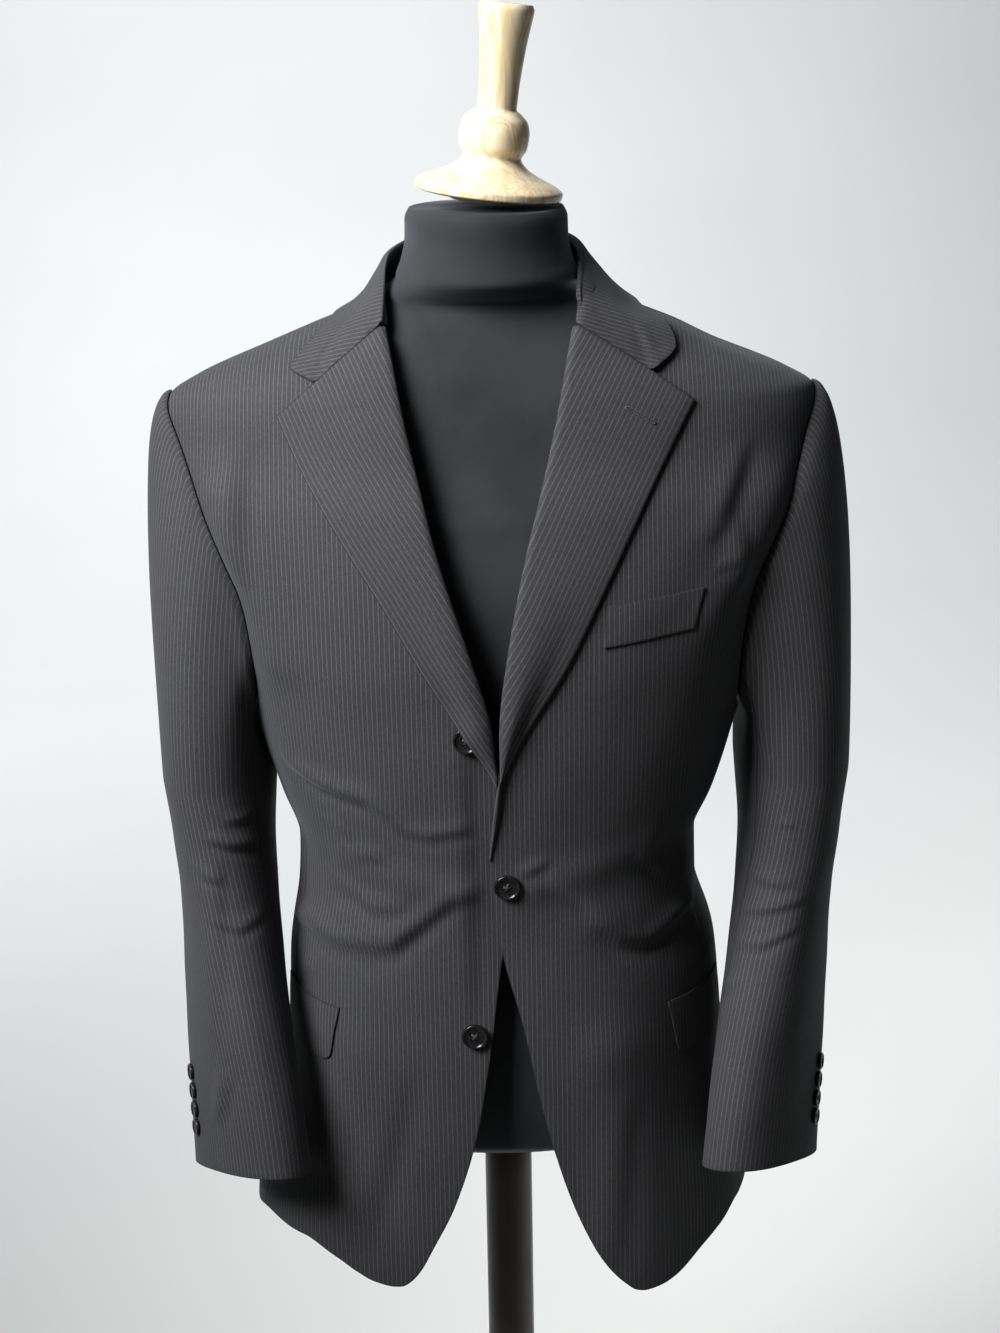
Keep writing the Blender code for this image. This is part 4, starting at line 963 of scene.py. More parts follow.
def sleeve_girth(side, start, clock, height):
    """Metres round a sleeve's ring from one clock place to another."""
    steps = np.linspace(0.0, 1.0, 17)
    round_to = start + (clock - start)[..., None] * steps
    path = sleeve_ring(side, round_to, np.broadcast_to(height[..., None], round_to.shape))
    return np.linalg.norm(np.diff(path, axis=-2), axis=-1).sum(axis=-1) * np.sign(clock - start)


def head_girth(side, clock, height):
    """The same round the sleeve's head from its outermost line, so that its stripes hang straight."""
    clocks = np.arange(-90.0, 181.0, 3.0)
    levels = np.linspace(SLEEVE.keys[-1], 1.42, 65)
    rows = np.linspace(SLEEVE_HEAD, 0.0, 49)
    crossed = np.empty((len(clocks), len(levels), 2))
    for k, one in enumerate(clocks):
        line = sleeve_smooth(side, np.full(len(rows), one), rows)
        rising = np.maximum.accumulate(line[:, 2])
        for axis in (0, 1):
            crossed[k, :, axis] = np.interp(levels, rising, line[:, axis])
    # Past its foremost and rearmost points a level counts only across, where it turns in to the seam.
    middle = int(np.argmin(np.abs(clocks)))
    y = crossed[:, :, 1]
    ahead = np.minimum.accumulate(y[middle:], axis=0)
    behind = np.maximum.accumulate(y[middle::-1], axis=0)[:0:-1]
    crossed[:, :, 1] = mix(y, np.concatenate((behind, ahead)), ease(levels, 1.11, 1.16))
    spans = np.linalg.norm(np.diff(crossed, axis=0), axis=-1)
    round_to = np.concatenate((np.zeros((1, len(levels))), np.cumsum(spans, axis=0)))
    round_to -= round_to[middle]
    level = np.interp(height, levels, np.arange(len(levels)))
    low = np.minimum(level.astype(int), len(levels) - 2)
    found = np.empty(np.shape(clock))
    for k in np.unique(low):
        of = low == k
        a, b = (np.interp(clock[of], clocks, round_to[:, n]) for n in (k, k + 1))
        found[of] = mix(a, b, level[of] - k)
    return found


def sleeve_places(side, part):
    low, high = (-45.0, 135.0) if part == "top" else (135.0, 315.0)

    def place(u, v):
        clock = mix(low - CLOCK_REACH, high + CLOCK_REACH, u)
        point = sleeve_point(side, clock, v)
        across = sleeve_girth(side, 0.0 if part == "top" else 180.0, clock, sleeve_height(v))
        if part == "top":
            across = np.where(v < SLEEVE_HEAD, head_girth(side, clock, point[:, 2]), across)
        across = across + np.radians(SLEEVE.read(6, sleeve_height(v))) * SLEEVE_TWIST_REACH
        along = np.interp(v, (0.0, SLEEVE_HEAD, 1.0), SLEEVE_RUN)
        return point, np.stack((side * across, along), axis=-1)

    return place


def sleeve_height(row):
    below = np.clip((row - SLEEVE_HEAD) / (1 - SLEEVE_HEAD), 0.0, 1.0)
    return mix(SLEEVE.keys[-1], SLEEVE.keys[0], below)


# ---- Making pieces ----


def link(name, mesh, *materials):
    for one in materials:
        mesh.materials.append(one)
    piece = bpy.data.objects.new(name, mesh)
    bpy.context.scene.collection.objects.link(piece)
    return piece


def meshed(shape, name):
    """A smooth mesh of a bmesh, which is freed."""
    mesh = bpy.data.meshes.new(name)
    shape.to_mesh(mesh)
    shape.free()
    mesh.shade_smooth()
    return mesh


def bridged(shape, low, high):
    """Faces from one ring of vertices to the next."""
    corners = zip(low, low[1:] + low[:1], high[1:] + high[:1], high)
    return [shape.faces.new(around) for around in corners]


def ringed_mesh(name, rings):
    """A closed mesh over rings of points, capped flat at both ends."""
    shape = bmesh.new()
    rings = [[shape.verts.new(point) for point in ring] for ring in rings]
    for low, high in zip(rings, rings[1:]):
        bridged(shape, low, high)
    shape.faces.new(list(reversed(rings[0])))
    shape.faces.new(rings[-1])
    bmesh.ops.recalc_face_normals(shape, faces=shape.faces[:])
    return meshed(shape, name)


def turned_mesh(name, profile, steps):
    """A closed turned mesh from (radius, height) pairs."""
    angles = np.arange(steps) * 2 * math.pi / steps
    rings = [[(r * math.cos(a), r * math.sin(a), z) for a in angles] for r, z in profile]
    return ringed_mesh(name, rings)


def bevelled(piece, name, width):
    """Rounds the sharp edges of a piece."""
    edges = piece.modifiers.new(name, "BEVEL")
    edges.width = width
    edges.segments = 2
    edges.limit_method = "ANGLE"
    edges.angle_limit = math.radians(50.0)


def chart_layer(mesh, name, values):
    """Writes one pair of numbers for each vertex as a UV layer."""
    loops = np.empty(len(mesh.loops), np.int32)
    mesh.loops.foreach_get("vertex_index", loops)
    layer = mesh.uv_layers.new(name=name)
    layer.data.foreach_set("uv", values[loops].astype(np.float32).ravel())


def edge_distances(point, across, up, sewn):
    """For each vertex of a grid its distance from the nearest sewn edge and the nearest free one."""
    grid = point.reshape(up + 1, across + 1, 3)
    wide = np.linalg.norm(np.diff(grid, axis=1), axis=-1)
    tall = np.linalg.norm(np.diff(grid, axis=0), axis=-1)
    from_start = np.concatenate((np.zeros((up + 1, 1)), np.cumsum(wide, axis=1)), axis=1)
    from_low = np.concatenate((np.zeros((1, across + 1)), np.cumsum(tall, axis=0)), axis=0)
    sides = {
        "start": from_start,
        "end": from_start[:, -1:] - from_start,
        "low": from_low,
        "high": from_low[-1:] - from_low,
    }
    far = np.full((up + 1, across + 1), 1.0)
    seam = np.minimum.reduce([far] + [sides[name] for name in sewn])
    free = np.minimum.reduce([far] + [sides[name] for name in sides if name not in sewn])
    return np.stack((seam.ravel(), free.ravel()), axis=-1)


def away_from_axis(point):
    """Away from the body's middle, and up over the shoulders."""
    over = np.maximum(point[:, 2] - 1.36, 0.0) * 1.6
    return points(point[:, 0], point[:, 1], over)


def away_from_sleeve(side):
    """Away from the bent line through the middle of a sleeve."""

    def away(point):
        depth = np.interp(point[:, 2], (0.80, 0.95, 1.10), (-0.11, -0.044, 0.0))
        return points(point[:, 0] - side * 0.215, point[:, 1] - depth, 0.0)

    return away


def upward(point):
    return points(0.0 * point[:, 0], 0.0 * point[:, 0], 1.0)


def cloth(node, across, up, place, away, sewn=(), thickness=None):
    """A cloth piece: a grid laid by place(u, v), thickened inwards, with its edges rounded."""
    settings = bpy.context.scene.suit_cloth
    grid = bmesh.new()
    bmesh.ops.create_grid(grid, x_segments=across, y_segments=up, size=0.5)
    mesh = meshed(grid, f"cloth_{node}")
    flat = np.empty(len(mesh.vertices) * 3)
    mesh.vertices.foreach_get("co", flat)
    u, v = (np.round((flat.reshape(-1, 3)[:, k] + 0.5) * n) / n for k, n in ((0, across), (1, up)))
    point, chart = place(u, v)
    mesh.vertices.foreach_set("co", point.ravel())
    mesh.update()
    order = np.lexsort((u, v))
    edges = np.empty((len(u), 2))
    edges[order] = edge_distances(point[order], across, up, sewn)
    chart_layer(mesh, "cloth", chart)
    chart_layer(mesh, "edges", edges)
    normals = np.empty(len(mesh.vertices) * 3)
    mesh.vertices.foreach_get("normal", normals)
    if np.sum(normals.reshape(-1, 3) * away(point)) < 0:
        mesh.flip_normals()
    piece = link(f"cloth_{node}", mesh, material("suiting"))
    wall = piece.modifiers.new("wall", "SOLIDIFY")
    wall.thickness = thickness or settings.thickness
    wall.offset = -1.0
    wall.use_even_offset = False
    bevelled(piece, "turned edges", settings.edge_radius)
    settle(piece, "charcoal_suiting", node)
    return piece


def settle(piece, slot, *nodes):
    """The piece moves with the part and stands for its solids, which it hides."""
    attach(piece, "root")
    if nodes:
        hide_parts(*nodes)
    return piece


def smooth_profile(profile, between):
    """More points along a turned profile, without overshooting any of them."""
    table = Table(*[(k, r, z) for k, (r, z) in enumerate(profile)])
    at = np.linspace(0, len(profile) - 1, (len(profile) - 1) * between + 1)
    return list(zip(table.read(1, at), table.read(2, at)))


# ---- Materials ----


class Shader:
    """A Principled material and the nodes that feed it."""

    def __init__(self, name, colour, roughness):
        self.material = bpy.data.materials.new(name)
        self.material.use_nodes = True
        self.tree = self.material.node_tree
        self.main = self.tree.nodes["Principled BSDF"]
        self.set("Base Color", (*colour, 1.0))
        self.set("Roughness", roughness)
        self.material.diffuse_color = (*colour, 1.0)

    def set(self, socket, value):
        self.main.inputs[socket].default_value = value

    def feed(self, socket, source):
        self.tree.links.new(source, self.main.inputs[socket])

    def node(self, kind, inputs=(), **settings):
        made = self.tree.nodes.new(kind)
        for key, value in settings.items():
            setattr(made, key, value)
        for key, value in dict(inputs).items():
            if isinstance(value, bpy.types.NodeSocket):
                self.tree.links.new(value, made.inputs[key])
            else:
                made.inputs[key].default_value = value
        return made

    def math(self, operation, a, b=0.0, c=0.0):
        return self.node("ShaderNodeMath", {0: a, 1: b, 2: c}, operation=operation).outputs[0]

    def times(self, a, b):
        return self.math("MULTIPLY", a, b)

    def plus(self, a, b):
        return self.math("ADD", a, b)

    def wave(self, value, pitch):
        return self.math("SINE", self.times(value, 2 * math.pi / pitch))

    def between(self, value, start, end, low=0.0, high=1.0):
        """Smoothly from low at start to high at end."""
        inputs = {"Value": value, "From Min": start, "From Max": end, "To Min": low, "To Max": high}
        return self.node("ShaderNodeMapRange", inputs, interpolation_type="SMOOTHSTEP").outputs[0]

    def chart(self, name):
        found = self.node("ShaderNodeUVMap", uv_map=name).outputs[0]
        split = self.node("ShaderNodeSeparateXYZ", {0: found})
        return found, split.outputs[0], split.outputs[1]

    def space(self):
        return self.node("ShaderNodeTexCoord").outputs["Object"]

    def noise(self, vector, scale, detail=2.0, roughness=0.5, distortion=0.0):
        inputs = {
            "Vector": vector,
            "Scale": scale,
            "Detail": detail,
            "Roughness": roughness,
            "Distortion": distortion,
        }
        return self.node("ShaderNodeTexNoise", inputs).outputs["Fac"]

    def grain(self, vector, scale, *more):
        """Noise with a scale of its own along each axis."""
        stretched = self.node("ShaderNodeVectorMath", {0: vector, 1: scale}, operation="MULTIPLY")
        return self.noise(stretched.outputs[0], 1.0, *more)

    def blend(self, factor, a, b, how="MIX"):
        made = self.node("ShaderNodeMix", data_type="RGBA", blend_type=how)
        for socket, value in ((0, factor), (6, a), (7, b)):
            if isinstance(value, bpy.types.NodeSocket):
                self.tree.links.new(value, made.inputs[socket])
            else:
                made.inputs[socket].default_value = value
        return made.outputs[2]

    def shades(self, value, *stops):
        """A colour ramp over (place, colour) stops."""
        ramp = self.node("ShaderNodeValToRGB", {0: value})
        while len(ramp.color_ramp.elements) < len(stops):
            ramp.color_ramp.elements.new(0.5)
        for element, (place, colour) in zip(ramp.color_ramp.elements, stops):
            element.position = place
            element.color = (*colour, 1.0)
        return ramp.outputs[0]

    def bump(self, height, distance, strength=1.0, below=None):
        inputs = {"Height": height, "Distance": distance, "Strength": strength}
        if below is not None:
            inputs["Normal"] = below
        return self.node("ShaderNodeBump", inputs).outputs[0]


def suiting():
    """Worsted wool in charcoal with a fine pale pinstripe, and painted shade along its seams and
    edges.
    """
    settings = bpy.context.scene.suit_cloth
    make = Shader("suiting", settings.colour, 0.78)
    chart, across, along = make.chart("cloth")
    _, seam, free = make.chart("edges")
    place = make.space()

    waver = make.times(make.noise(chart, 14.0), 0.0009)
    shifted = make.plus(across, waver)
    repeat = make.math("FRACT", make.math("DIVIDE", shifted, settings.stripe_pitch))
    off = make.math("ABSOLUTE", make.math("SUBTRACT", repeat, 0.5))
    half = settings.stripe_width / settings.stripe_pitch / 2
    stripe = make.between(off, half * 1.7, half * 0.4)
    breaks = make.grain(chart, (900.0, 700.0, 1.0), 1.0)
    flecks = make.between(breaks, 0.30, 0.62, 0.45, 1.0)
    stripe = make.times(stripe, flecks)

    # Twill: fine diagonal ribs, and yarns a little lighter and darker than each other.
    diagonal = make.plus(across, along)
    twill = make.wave(diagonal, 0.0011)
    yarns = make.grain(chart, (1500.0, 260.0, 1.0), 2.0, 0.6)
    melange = make.between(yarns, 0.25, 0.75, 0.72, 1.28)
    broad = make.between(make.noise(place, 7.0, 3.0, 0.55), 0.3, 0.7, 0.93, 1.07)

    dark = make.shades(
        make.times(make.times(melange, broad), 0.5),
        (0.25, tuple(0.62 * c for c in settings.colour)),
        (0.50, settings.colour),
        (0.75, tuple(1.45 * c for c in settings.colour)),
    )
    colour = make.blend(stripe, dark, (*settings.stripe_colour, 1.0))
    # Painted shade: the colour darkens to half within 2 mm of a seam and 1.2 mm of a free edge,
    # standing in for shade in the seams and along the turned edges.
    painted_edge_shade = make.between(seam, 0.0, 0.0020, 0.50, 1.0)
    painted_edge_shade = make.times(painted_edge_shade, make.between(free, 0.0, 0.0012, 0.50, 1.0))
    shade = make.shades(painted_edge_shade, (0.0, (0.0, 0.0, 0.0)), (1.0, (1.0, 1.0, 1.0)))
    colour = make.blend(1.0, colour, shade, "MULTIPLY")
    make.feed("Base Color", colour)

    sunk = make.between(seam, 0.0, 0.0030)
    thin = make.between(free, 0.0, 0.0075)
    rib = make.bump(twill, 0.00010, 0.35)
    wool = make.bump(yarns, 0.00025, 0.45, rib)
    seams = make.bump(make.plus(sunk, make.times(thin, 0.8)), 0.0003, 0.6, wool)
    make.feed("Normal", seams)
    make.set("Sheen Weight", 0.10)
    make.set("Sheen Roughness", 0.42)
    make.set("Sheen Tint", (0.72, 0.78, 0.88, 1.0))
    make.set("Specular IOR Level", 0.22)
    return make.material


def horn():
    """Polished black horn, with a faint cloudiness and small scuffs."""
    make = Shader("horn", (0.010, 0.010, 0.012), 0.16)
    place = make.space()
    cloud = make.noise(place, 260.0, 4.0, 0.6, 1.5)
    tone = make.shades(cloud, (0.35, (0.006, 0.006, 0.008)), (0.75, (0.022, 0.019, 0.019)))
    make.feed("Base Color", tone)
    scuffs = make.grain(place, (1900.0, 1900.0, 500.0), 3.0)
    make.feed("Roughness", make.between(scuffs, 0.35, 0.80, 0.12, 0.34))
    make.feed("Normal", make.bump(scuffs, 0.00003, 0.3))
    make.set("Specular IOR Level", 0.32)
    return make.material


def thread():
    """Twisted black sewing thread."""
    make = Shader("thread", (0.016, 0.016, 0.018), 0.6)
    place = make.space()
    twist = make.grain(place, (2600.0, 2600.0, 900.0), 2.0)
    tone = make.shades(twist, (0.3, (0.008, 0.008, 0.010)), (0.7, (0.040, 0.041, 0.046)))
    make.feed("Base Color", tone)
    make.feed("Normal", make.bump(twist, 0.0002, 0.5))
    make.set("Sheen Weight", 0.2)
    return make.material


def jersey():
    """The black knitted cover of the form: fine wales, a little sheen and a little lint."""
    make = Shader("jersey", (0.012, 0.012, 0.014), 0.85)
    chart, across, along = make.chart("cloth")
    wale = make.wave(across, 0.0013)
    course = make.wave(along, 0.0010)
    loops = make.times(wale, course)
    broad = make.noise(make.space(), 12.0, 4.0, 0.6)
    tone = make.plus(make.times(loops, 0.10), broad)
    colour = make.shades(tone, (0.30, (0.014, 0.015, 0.017)), (0.75, (0.028, 0.030, 0.034)))
    make.feed("Base Color", colour)
    knit = make.bump(loops, 0.00012, 0.5)
    make.feed("Normal", make.bump(make.noise(chart, 55.0, 3.0), 0.0008, 0.25, knit))
    make.set("Sheen Weight", 0.55)
    make.set("Sheen Roughness", 0.35)
    make.set("Sheen Tint", (0.80, 0.88, 1.0, 1.0))
    make.set("Specular IOR Level", 0.25)
    return make.material


def varnished_wood():
    """Turned and varnished pale wood: long grain, darker growth lines, a few pores."""
    make = Shader("varnished_wood", (0.80, 0.66, 0.44), 0.30)
    place = make.space()
    grain = make.grain(place, (60.0, 60.0, 7.0), 6.0, 0.62, 1.4)
    growth = make.grain(place, (22.0, 30.0, 2.2), 2.0, 0.5, 2.6)
    lines = make.math("FRACT", make.times(growth, 9.0))
    lines = make.between(make.math("ABSOLUTE", make.math("SUBTRACT", lines, 0.5)), 0.06, 0.42)
    tone = make.plus(make.times(grain, 0.62), make.times(lines, 0.30))
    colour = make.shades(
        tone,
        (0.22, (0.640, 0.475, 0.270)),
        (0.45, (0.790, 0.655, 0.430)),
        (0.72, (0.880, 0.770, 0.560)),
    )
    pores = make.between(make.grain(place, (900.0, 900.0, 60.0), 2.0), 0.66, 0.80)
    make.feed("Base Color", make.blend(make.times(pores, 0.5), colour, (0.56, 0.40, 0.22, 1.0)))
    make.feed("Roughness", make.between(grain, 0.30, 0.70, 0.24, 0.38))
    make.feed("Normal", make.bump(grain, 0.0004, 0.12))
    make.set("Coat Weight", 0.6)
    make.set("Coat Roughness", 0.12)
    return make.material


def stained_wood():
    """Stained wood with a satin finish, its grain along the pole and the base."""
    make = Shader("stained_wood", (0.030, 0.018, 0.013), 0.42)
    place = make.space()
    grain = make.grain(place, (45.0, 45.0, 5.0), 6.0, 0.6, 1.2)
    fine = make.grain(place, (420.0, 420.0, 18.0), 3.0)
    tone = make.plus(make.times(grain, 0.75), make.times(fine, 0.25))
    colour = make.shades(
        tone,
        (0.28, (0.010, 0.006, 0.005)),
        (0.52, (0.032, 0.018, 0.012)),
        (0.78, (0.068, 0.038, 0.024)),
    )
    make.feed("Base Color", colour)
    make.feed("Roughness", make.between(fine, 0.3, 0.7, 0.32, 0.50))
    make.feed("Normal", make.bump(fine, 0.0003, 0.25))
    make.set("Coat Weight", 0.25)
    make.set("Coat Roughness", 0.25)
    return make.material


def floor_paint():
    """Matt pale paint for the floor and the wall behind it."""
    make = Shader("floor_paint", (0.80, 0.805, 0.80), 0.9)
    mottle = make.noise(make.space(), 1.2, 3.0)
    tone = make.shades(mottle, (0.3, (0.780, 0.788, 0.785)), (0.7, (0.815, 0.820, 0.816)))
    make.feed("Base Color", tone)
    return make.material


FINISHES = (suiting, horn, thread, jersey, varnished_wood, stained_wood, floor_paint)
MAKERS = {made.__name__: made for made in FINISHES}


def material(name):
    return bpy.data.materials.get(name) or MAKERS[name]()


# ---- Settings ----


class ClothSettings(bpy.types.PropertyGroup):
    thickness: bpy.props.FloatProperty(
        name="Thickness", description="Thickness of every panel", default=0.002, unit="LENGTH"
    )
    edge_radius: bpy.props.FloatProperty(
        name="Edge radius", description="Rounding of a turned edge", default=0.00045, unit="LENGTH"
    )
    crease_depth: bpy.props.FloatProperty(
        name="Crease depth", description="Scale of the small creases", default=1.0, unit="NONE"
    )
    stripe_pitch: bpy.props.FloatProperty(
        name="Stripe pitch", description="Distance between two stripes", default=0.0037, unit="LENGTH"
    )
    stripe_width: bpy.props.FloatProperty(
        name="Stripe width", description="Width of one stripe", default=0.0007, unit="LENGTH"
    )
    colour: bpy.props.FloatVectorProperty(
        name="Colour", description="Ground of the cloth", default=(0.034, 0.034, 0.037),
        subtype="COLOR", unit="NONE",
    )
    stripe_colour: bpy.props.FloatVectorProperty(
        name="Stripe colour", description="Colour of the stripe", default=(0.078, 0.081, 0.087),
        subtype="COLOR", unit="NONE",
    )


class ButtonSettings(bpy.types.PropertyGroup):
    front_radius: bpy.props.FloatProperty(
        name="Front radius",
        description="Radius of the three front buttons",
        default=0.0100,
        unit="LENGTH",
    )
    cuff_radius: bpy.props.FloatProperty(
        name="Cuff radius", description="Radius of the cuff buttons", default=0.0066, unit="LENGTH"
    )
    thick: bpy.props.FloatProperty(
        name="Thickness", description="Thickness as a share of the radius", default=0.40, unit="NONE"
    )
    hole: bpy.props.FloatProperty(
        name="Hole",
        description="Radius of a hole as a share of the button's",
        default=0.105,
        unit="NONE",
    )


class StudioSettings(bpy.types.PropertyGroup):
    width: bpy.props.FloatProperty(
        name="Width", description="Width of the floor and wall", default=20.0, unit="LENGTH"
    )
    back: bpy.props.FloatProperty(
        name="Back", description="Distance from the part to the wall", default=6.5, unit="LENGTH"
    )
    key: bpy.props.FloatProperty(
        name="Key light", description="Power of the light on the left", default=19.0, unit="POWER"
    )
    wash: bpy.props.FloatProperty(
        name="Wash light", description="Power of the light on the wall", default=180.0, unit="POWER"
    )
    room: bpy.props.FloatProperty(
        name="Room light", description="Strength of the even light", default=0.055, unit="NONE"
    )


# ---- Building the pieces ----


class SUIT_OT_form(bpy.types.Operator):
    """The limbless torso with its neck, under a knitted cover"""

    bl_idname = "suit.form"
    bl_label = "Form"

    def execute(self, context):
        steps = 112
        heights = np.concatenate((np.linspace(0.800, 0.812, 5), np.linspace(0.820, FORM_TOP, 96)[1:]))
        turn = np.arange(steps) * 360.0 / steps
        rings = [form_ring(height, turn) for height in heights]
        for height in np.concatenate((np.linspace(1.4715, 1.526, 16), (1.529, 1.531, NECK_TOP))):
            share = np.clip((height - FORM_TOP) / 0.015, 0.0, 1.0)
            radius = NECK.read(1, np.maximum(height, 1.482))
            neck = points(
                NECK_CENTRE[0] + radius * np.sin(np.radians(turn)),
                NECK_CENTRE[1] - radius * np.cos(np.radians(turn)),
                height,
            )
            below = form_ring(FORM_TOP, turn)
            below[:, 2] = height
            rings.append(mix(below, neck, share))
        grid = np.stack(rings)
        mesh = ringed_mesh("form", grid)
        around = FORM_GIRTH * np.radians(np.where(turn > 180, turn - 360, turn))
        chart = np.stack(np.broadcast_arrays(around[None, :], grid[..., 2]), axis=-1).reshape(-1, 2)
        chart_layer(mesh, "cloth", chart)
        form = link("form", mesh, material("jersey"))
        settle(form, "form_cloth", "form_torso")
        return {"FINISHED"}


def form_ring(height, turn):
    """A ring of the form, seen from above, at degrees round from the front centre."""
    raised = height + FORM_DROP
    limit = mix(0.213, 0.222, ease(height, 1.320, 1.370))
    if height <= FORM.keys[-1]:
        right = left = FORM.read(1, height)
        front, back, power = (FORM.read(k, height) for k in (2, 3, 4))
    else:
        # Above its own table the form follows the jacket's sections from inside.
        right, left = (min(SECTIONS.read(k, raised), limit) for k in (1, 2))
        front = SECTIONS.read(3, raised) - mix(0.018, 0.011, ease(height, 1.33, 1.42))
        back = SECTIONS.read(4, raised) - mix(0.013, 0.011, ease(height, 1.33, 1.42))
        back -= 0.005 * ease(height, 1.44, 1.467)
        power = mix(2.1, 2.0, ease(height, 1.32, 1.40))
    s, c, reach = squarish(turn, power)
    x = np.where(turn < 180, left, right) * s * reach
    return points(x, -np.where(c > 0, front, back) * c * reach, height)


class SUIT_OT_neck_cap(bpy.types.Operator):
    """The turned wooden cap on the form's neck"""

    bl_idname = "suit.neck_cap"
    bl_label = "Neck cap"

    def execute(self, context):
        mesh = turned_mesh("neck_cap_wood", smooth_profile(CAP_PROFILE, 5), 96)
        aside, above = CAP_SEAT
        at = Matrix.Translation((NECK_CENTRE[0] + aside, NECK_CENTRE[1], NECK_TOP + above))
        mesh.transform(at @ Matrix.Rotation(math.radians(CAP_TILT), 4, "Y"))
        cap = link("neck_cap_wood", mesh, material("varnished_wood"))
        settle(cap, "pale_wood", "neck_cap")
        return {"FINISHED"}


class SUIT_OT_stand(bpy.types.Operator):
    """The pole and its round base"""

    bl_idname = "suit.stand"
    bl_label = "Stand"

    def execute(self, context):
        profile = [(BASE_R - 0.001, 0.0), (BASE_R, 0.001), (BASE_R, 0.010)]
        for k in range(1, 7):
            a = math.radians(15.0 * k)
            profile.append((BASE_R - 0.008 * (1 - math.cos(a)), 0.010 + 0.006 * math.sin(a)))
        profile += [(0.12, 0.0184), (0.08, 0.0204)]
        profile += [(0.045, BASE_TOP - 0.002), (0.030, BASE_TOP - 0.0013)]
        profile += [(POLE_R + 0.002, BASE_TOP - 0.0004), (POLE_R, BASE_TOP + 0.0004)]
        top = FORM_BOTTOM - SEAM
        profile += [(POLE_R, z) for z in np.linspace(0.05, top - 0.001, 12)]
        profile.append((POLE_R - 0.001, top))
        mesh = turned_mesh("stand_wood", profile, 96)
        stand = link("stand_wood", mesh, material("stained_wood"))
        edge = stand.modifiers.new("flat caps", "EDGE_SPLIT")
        edge.split_angle = math.radians(60.0)
        settle(stand, "dark_wood", "stand")
        return {"FINISHED"}


class SUIT_OT_fronts(bpy.types.Operator):
    """The two fronts, the left lapped over the right"""

    bl_idname = "suit.fronts"
    bl_label = "Fronts"

    def execute(self, context):
        for side, where in SIDES:
            cloth(f"front_{where}", 84, 192, front_places(side), away_from_axis, ("end", "high"))
        return {"FINISHED"}


class SUIT_OT_side_panels(bpy.types.Operator):
    """The panels under the arms"""

    bl_idname = "suit.side_panels"
    bl_label = "Side panels"

    def execute(self, context):
        for side, where in SIDES:
            cloth(f"side_panel_{where}", 40, 112, side_places(side), away_from_axis, SEWN_ABOVE)
        return {"FINISHED"}


class SUIT_OT_backs(bpy.types.Operator):
    """The two backs, with the vent below their seam"""

    bl_idname = "suit.backs"
    bl_label = "Backs"

    def execute(self, context):
        for side, where in SIDES:
            cloth(f"back_{where}", 64, 176, back_places(side), away_from_axis, SEWN_ABOVE)
        return {"FINISHED"}


class SUIT_OT_lapels(bpy.types.Operator):
    """The notched lapels, rolled back over the fronts"""

    bl_idname = "suit.lapels"
    bl_label = "Lapels"

    def execute(self, context):
        for side, where in SIDES:
            place = lapel_places(side)
            cloth(f"lapel_{where}", 36, 112, place, away_from_axis, ("high",), LAPEL_CLOTH)
        return {"FINISHED"}


class SUIT_OT_collar(bpy.types.Operator):
    """The collar, from one gorge round the neck to the other"""

    bl_idname = "suit.collar"
    bl_label = "Collar"

    def execute(self, context):
        cloth("collar", 50, 168, collar_places, upward)
        return {"FINISHED"}


class SUIT_OT_sleeves(bpy.types.Operator):
    """The top and under sleeves"""

    bl_idname = "suit.sleeves"
    bl_label = "Sleeves"

    def execute(self, context):
        for side, where in SIDES:
            away = away_from_sleeve(side)
            for part in ("top", "under"):
                place = sleeve_places(side, part)
                cloth(f"{part}_sleeve_{where}", 60, 160, place, away, SEWN_BELOW)
        return {"FINISHED"}


class SUIT_OT_pockets(bpy.types.Operator):
    """The hip pockets' flaps and the breast pocket's welt"""

    bl_idname = "suit.pockets"
    bl_label = "Pockets"

    def execute(self, context):
        for side, where in SIDES:
            place = flat_places(side, HIP_FLAP, ("high",), FLAP_ROUND)
            cloth(f"hip_flap_{where}", 60, 28, place, away_from_axis, ("high",), FLAT_CLOTH)
        place = flat_places(LEFT, BREAST_WELT, SEWN_BELOW)
        cloth("breast_welt", 48, 20, place, away_from_axis, SEWN_BELOW, FLAT_CLOTH)
        return {"FINISHED"}


def stitched_slot(name, lengthwise_points, normal):
    """A worked buttonhole: thread wound along a long loop round a line of points."""
    half, wire, stitches, sides = 0.0010, 0.00055, 34, 8
    line = np.array(lengthwise_points)
    forward = unit(line[-1] - line[0])
    across = np.cross(normal, forward)
    loop = []
    for side, run in ((1, line), (-1, line[::-1])):
        loop += [p + across * half * side for p in run]
        turn_out = forward * side
        for a in (0.6, 1.2, 1.9, 2.5):
            loop.append(run[-1] + half * (across * side * math.cos(a) + turn_out * math.sin(a)))
    count = len(loop) * 3
    at = np.linspace(0, len(loop), count, endpoint=False)
    closed = np.array(loop + loop[:1])
    path = np.stack([np.interp(at, np.arange(len(closed)), closed[:, k]) for k in range(3)], axis=-1)
    angles = [2 * math.pi * n / sides for n in range(sides)]
    tube = bmesh.new()
    rings = []
    for k, p in enumerate(path):
        way = unit(path[(k + 1) % count] - path[k - 1])
        beside = np.cross(normal, way)
        radius = wire * (1 + 0.18 * math.sin(2 * math.pi * stitches * k / count))
        out = [beside * math.cos(a) + normal * math.sin(a) for a in angles]
        rings.append([tube.verts.new(p + radius * way_out) for way_out in out])
    for here, there in zip(rings, rings[1:] + rings[:1]):
        bridged(tube, here, there)
    bmesh.ops.recalc_face_normals(tube, faces=tube.faces[:])
    return settle(link(name, meshed(tube, name), material("thread")), "charcoal_suiting")


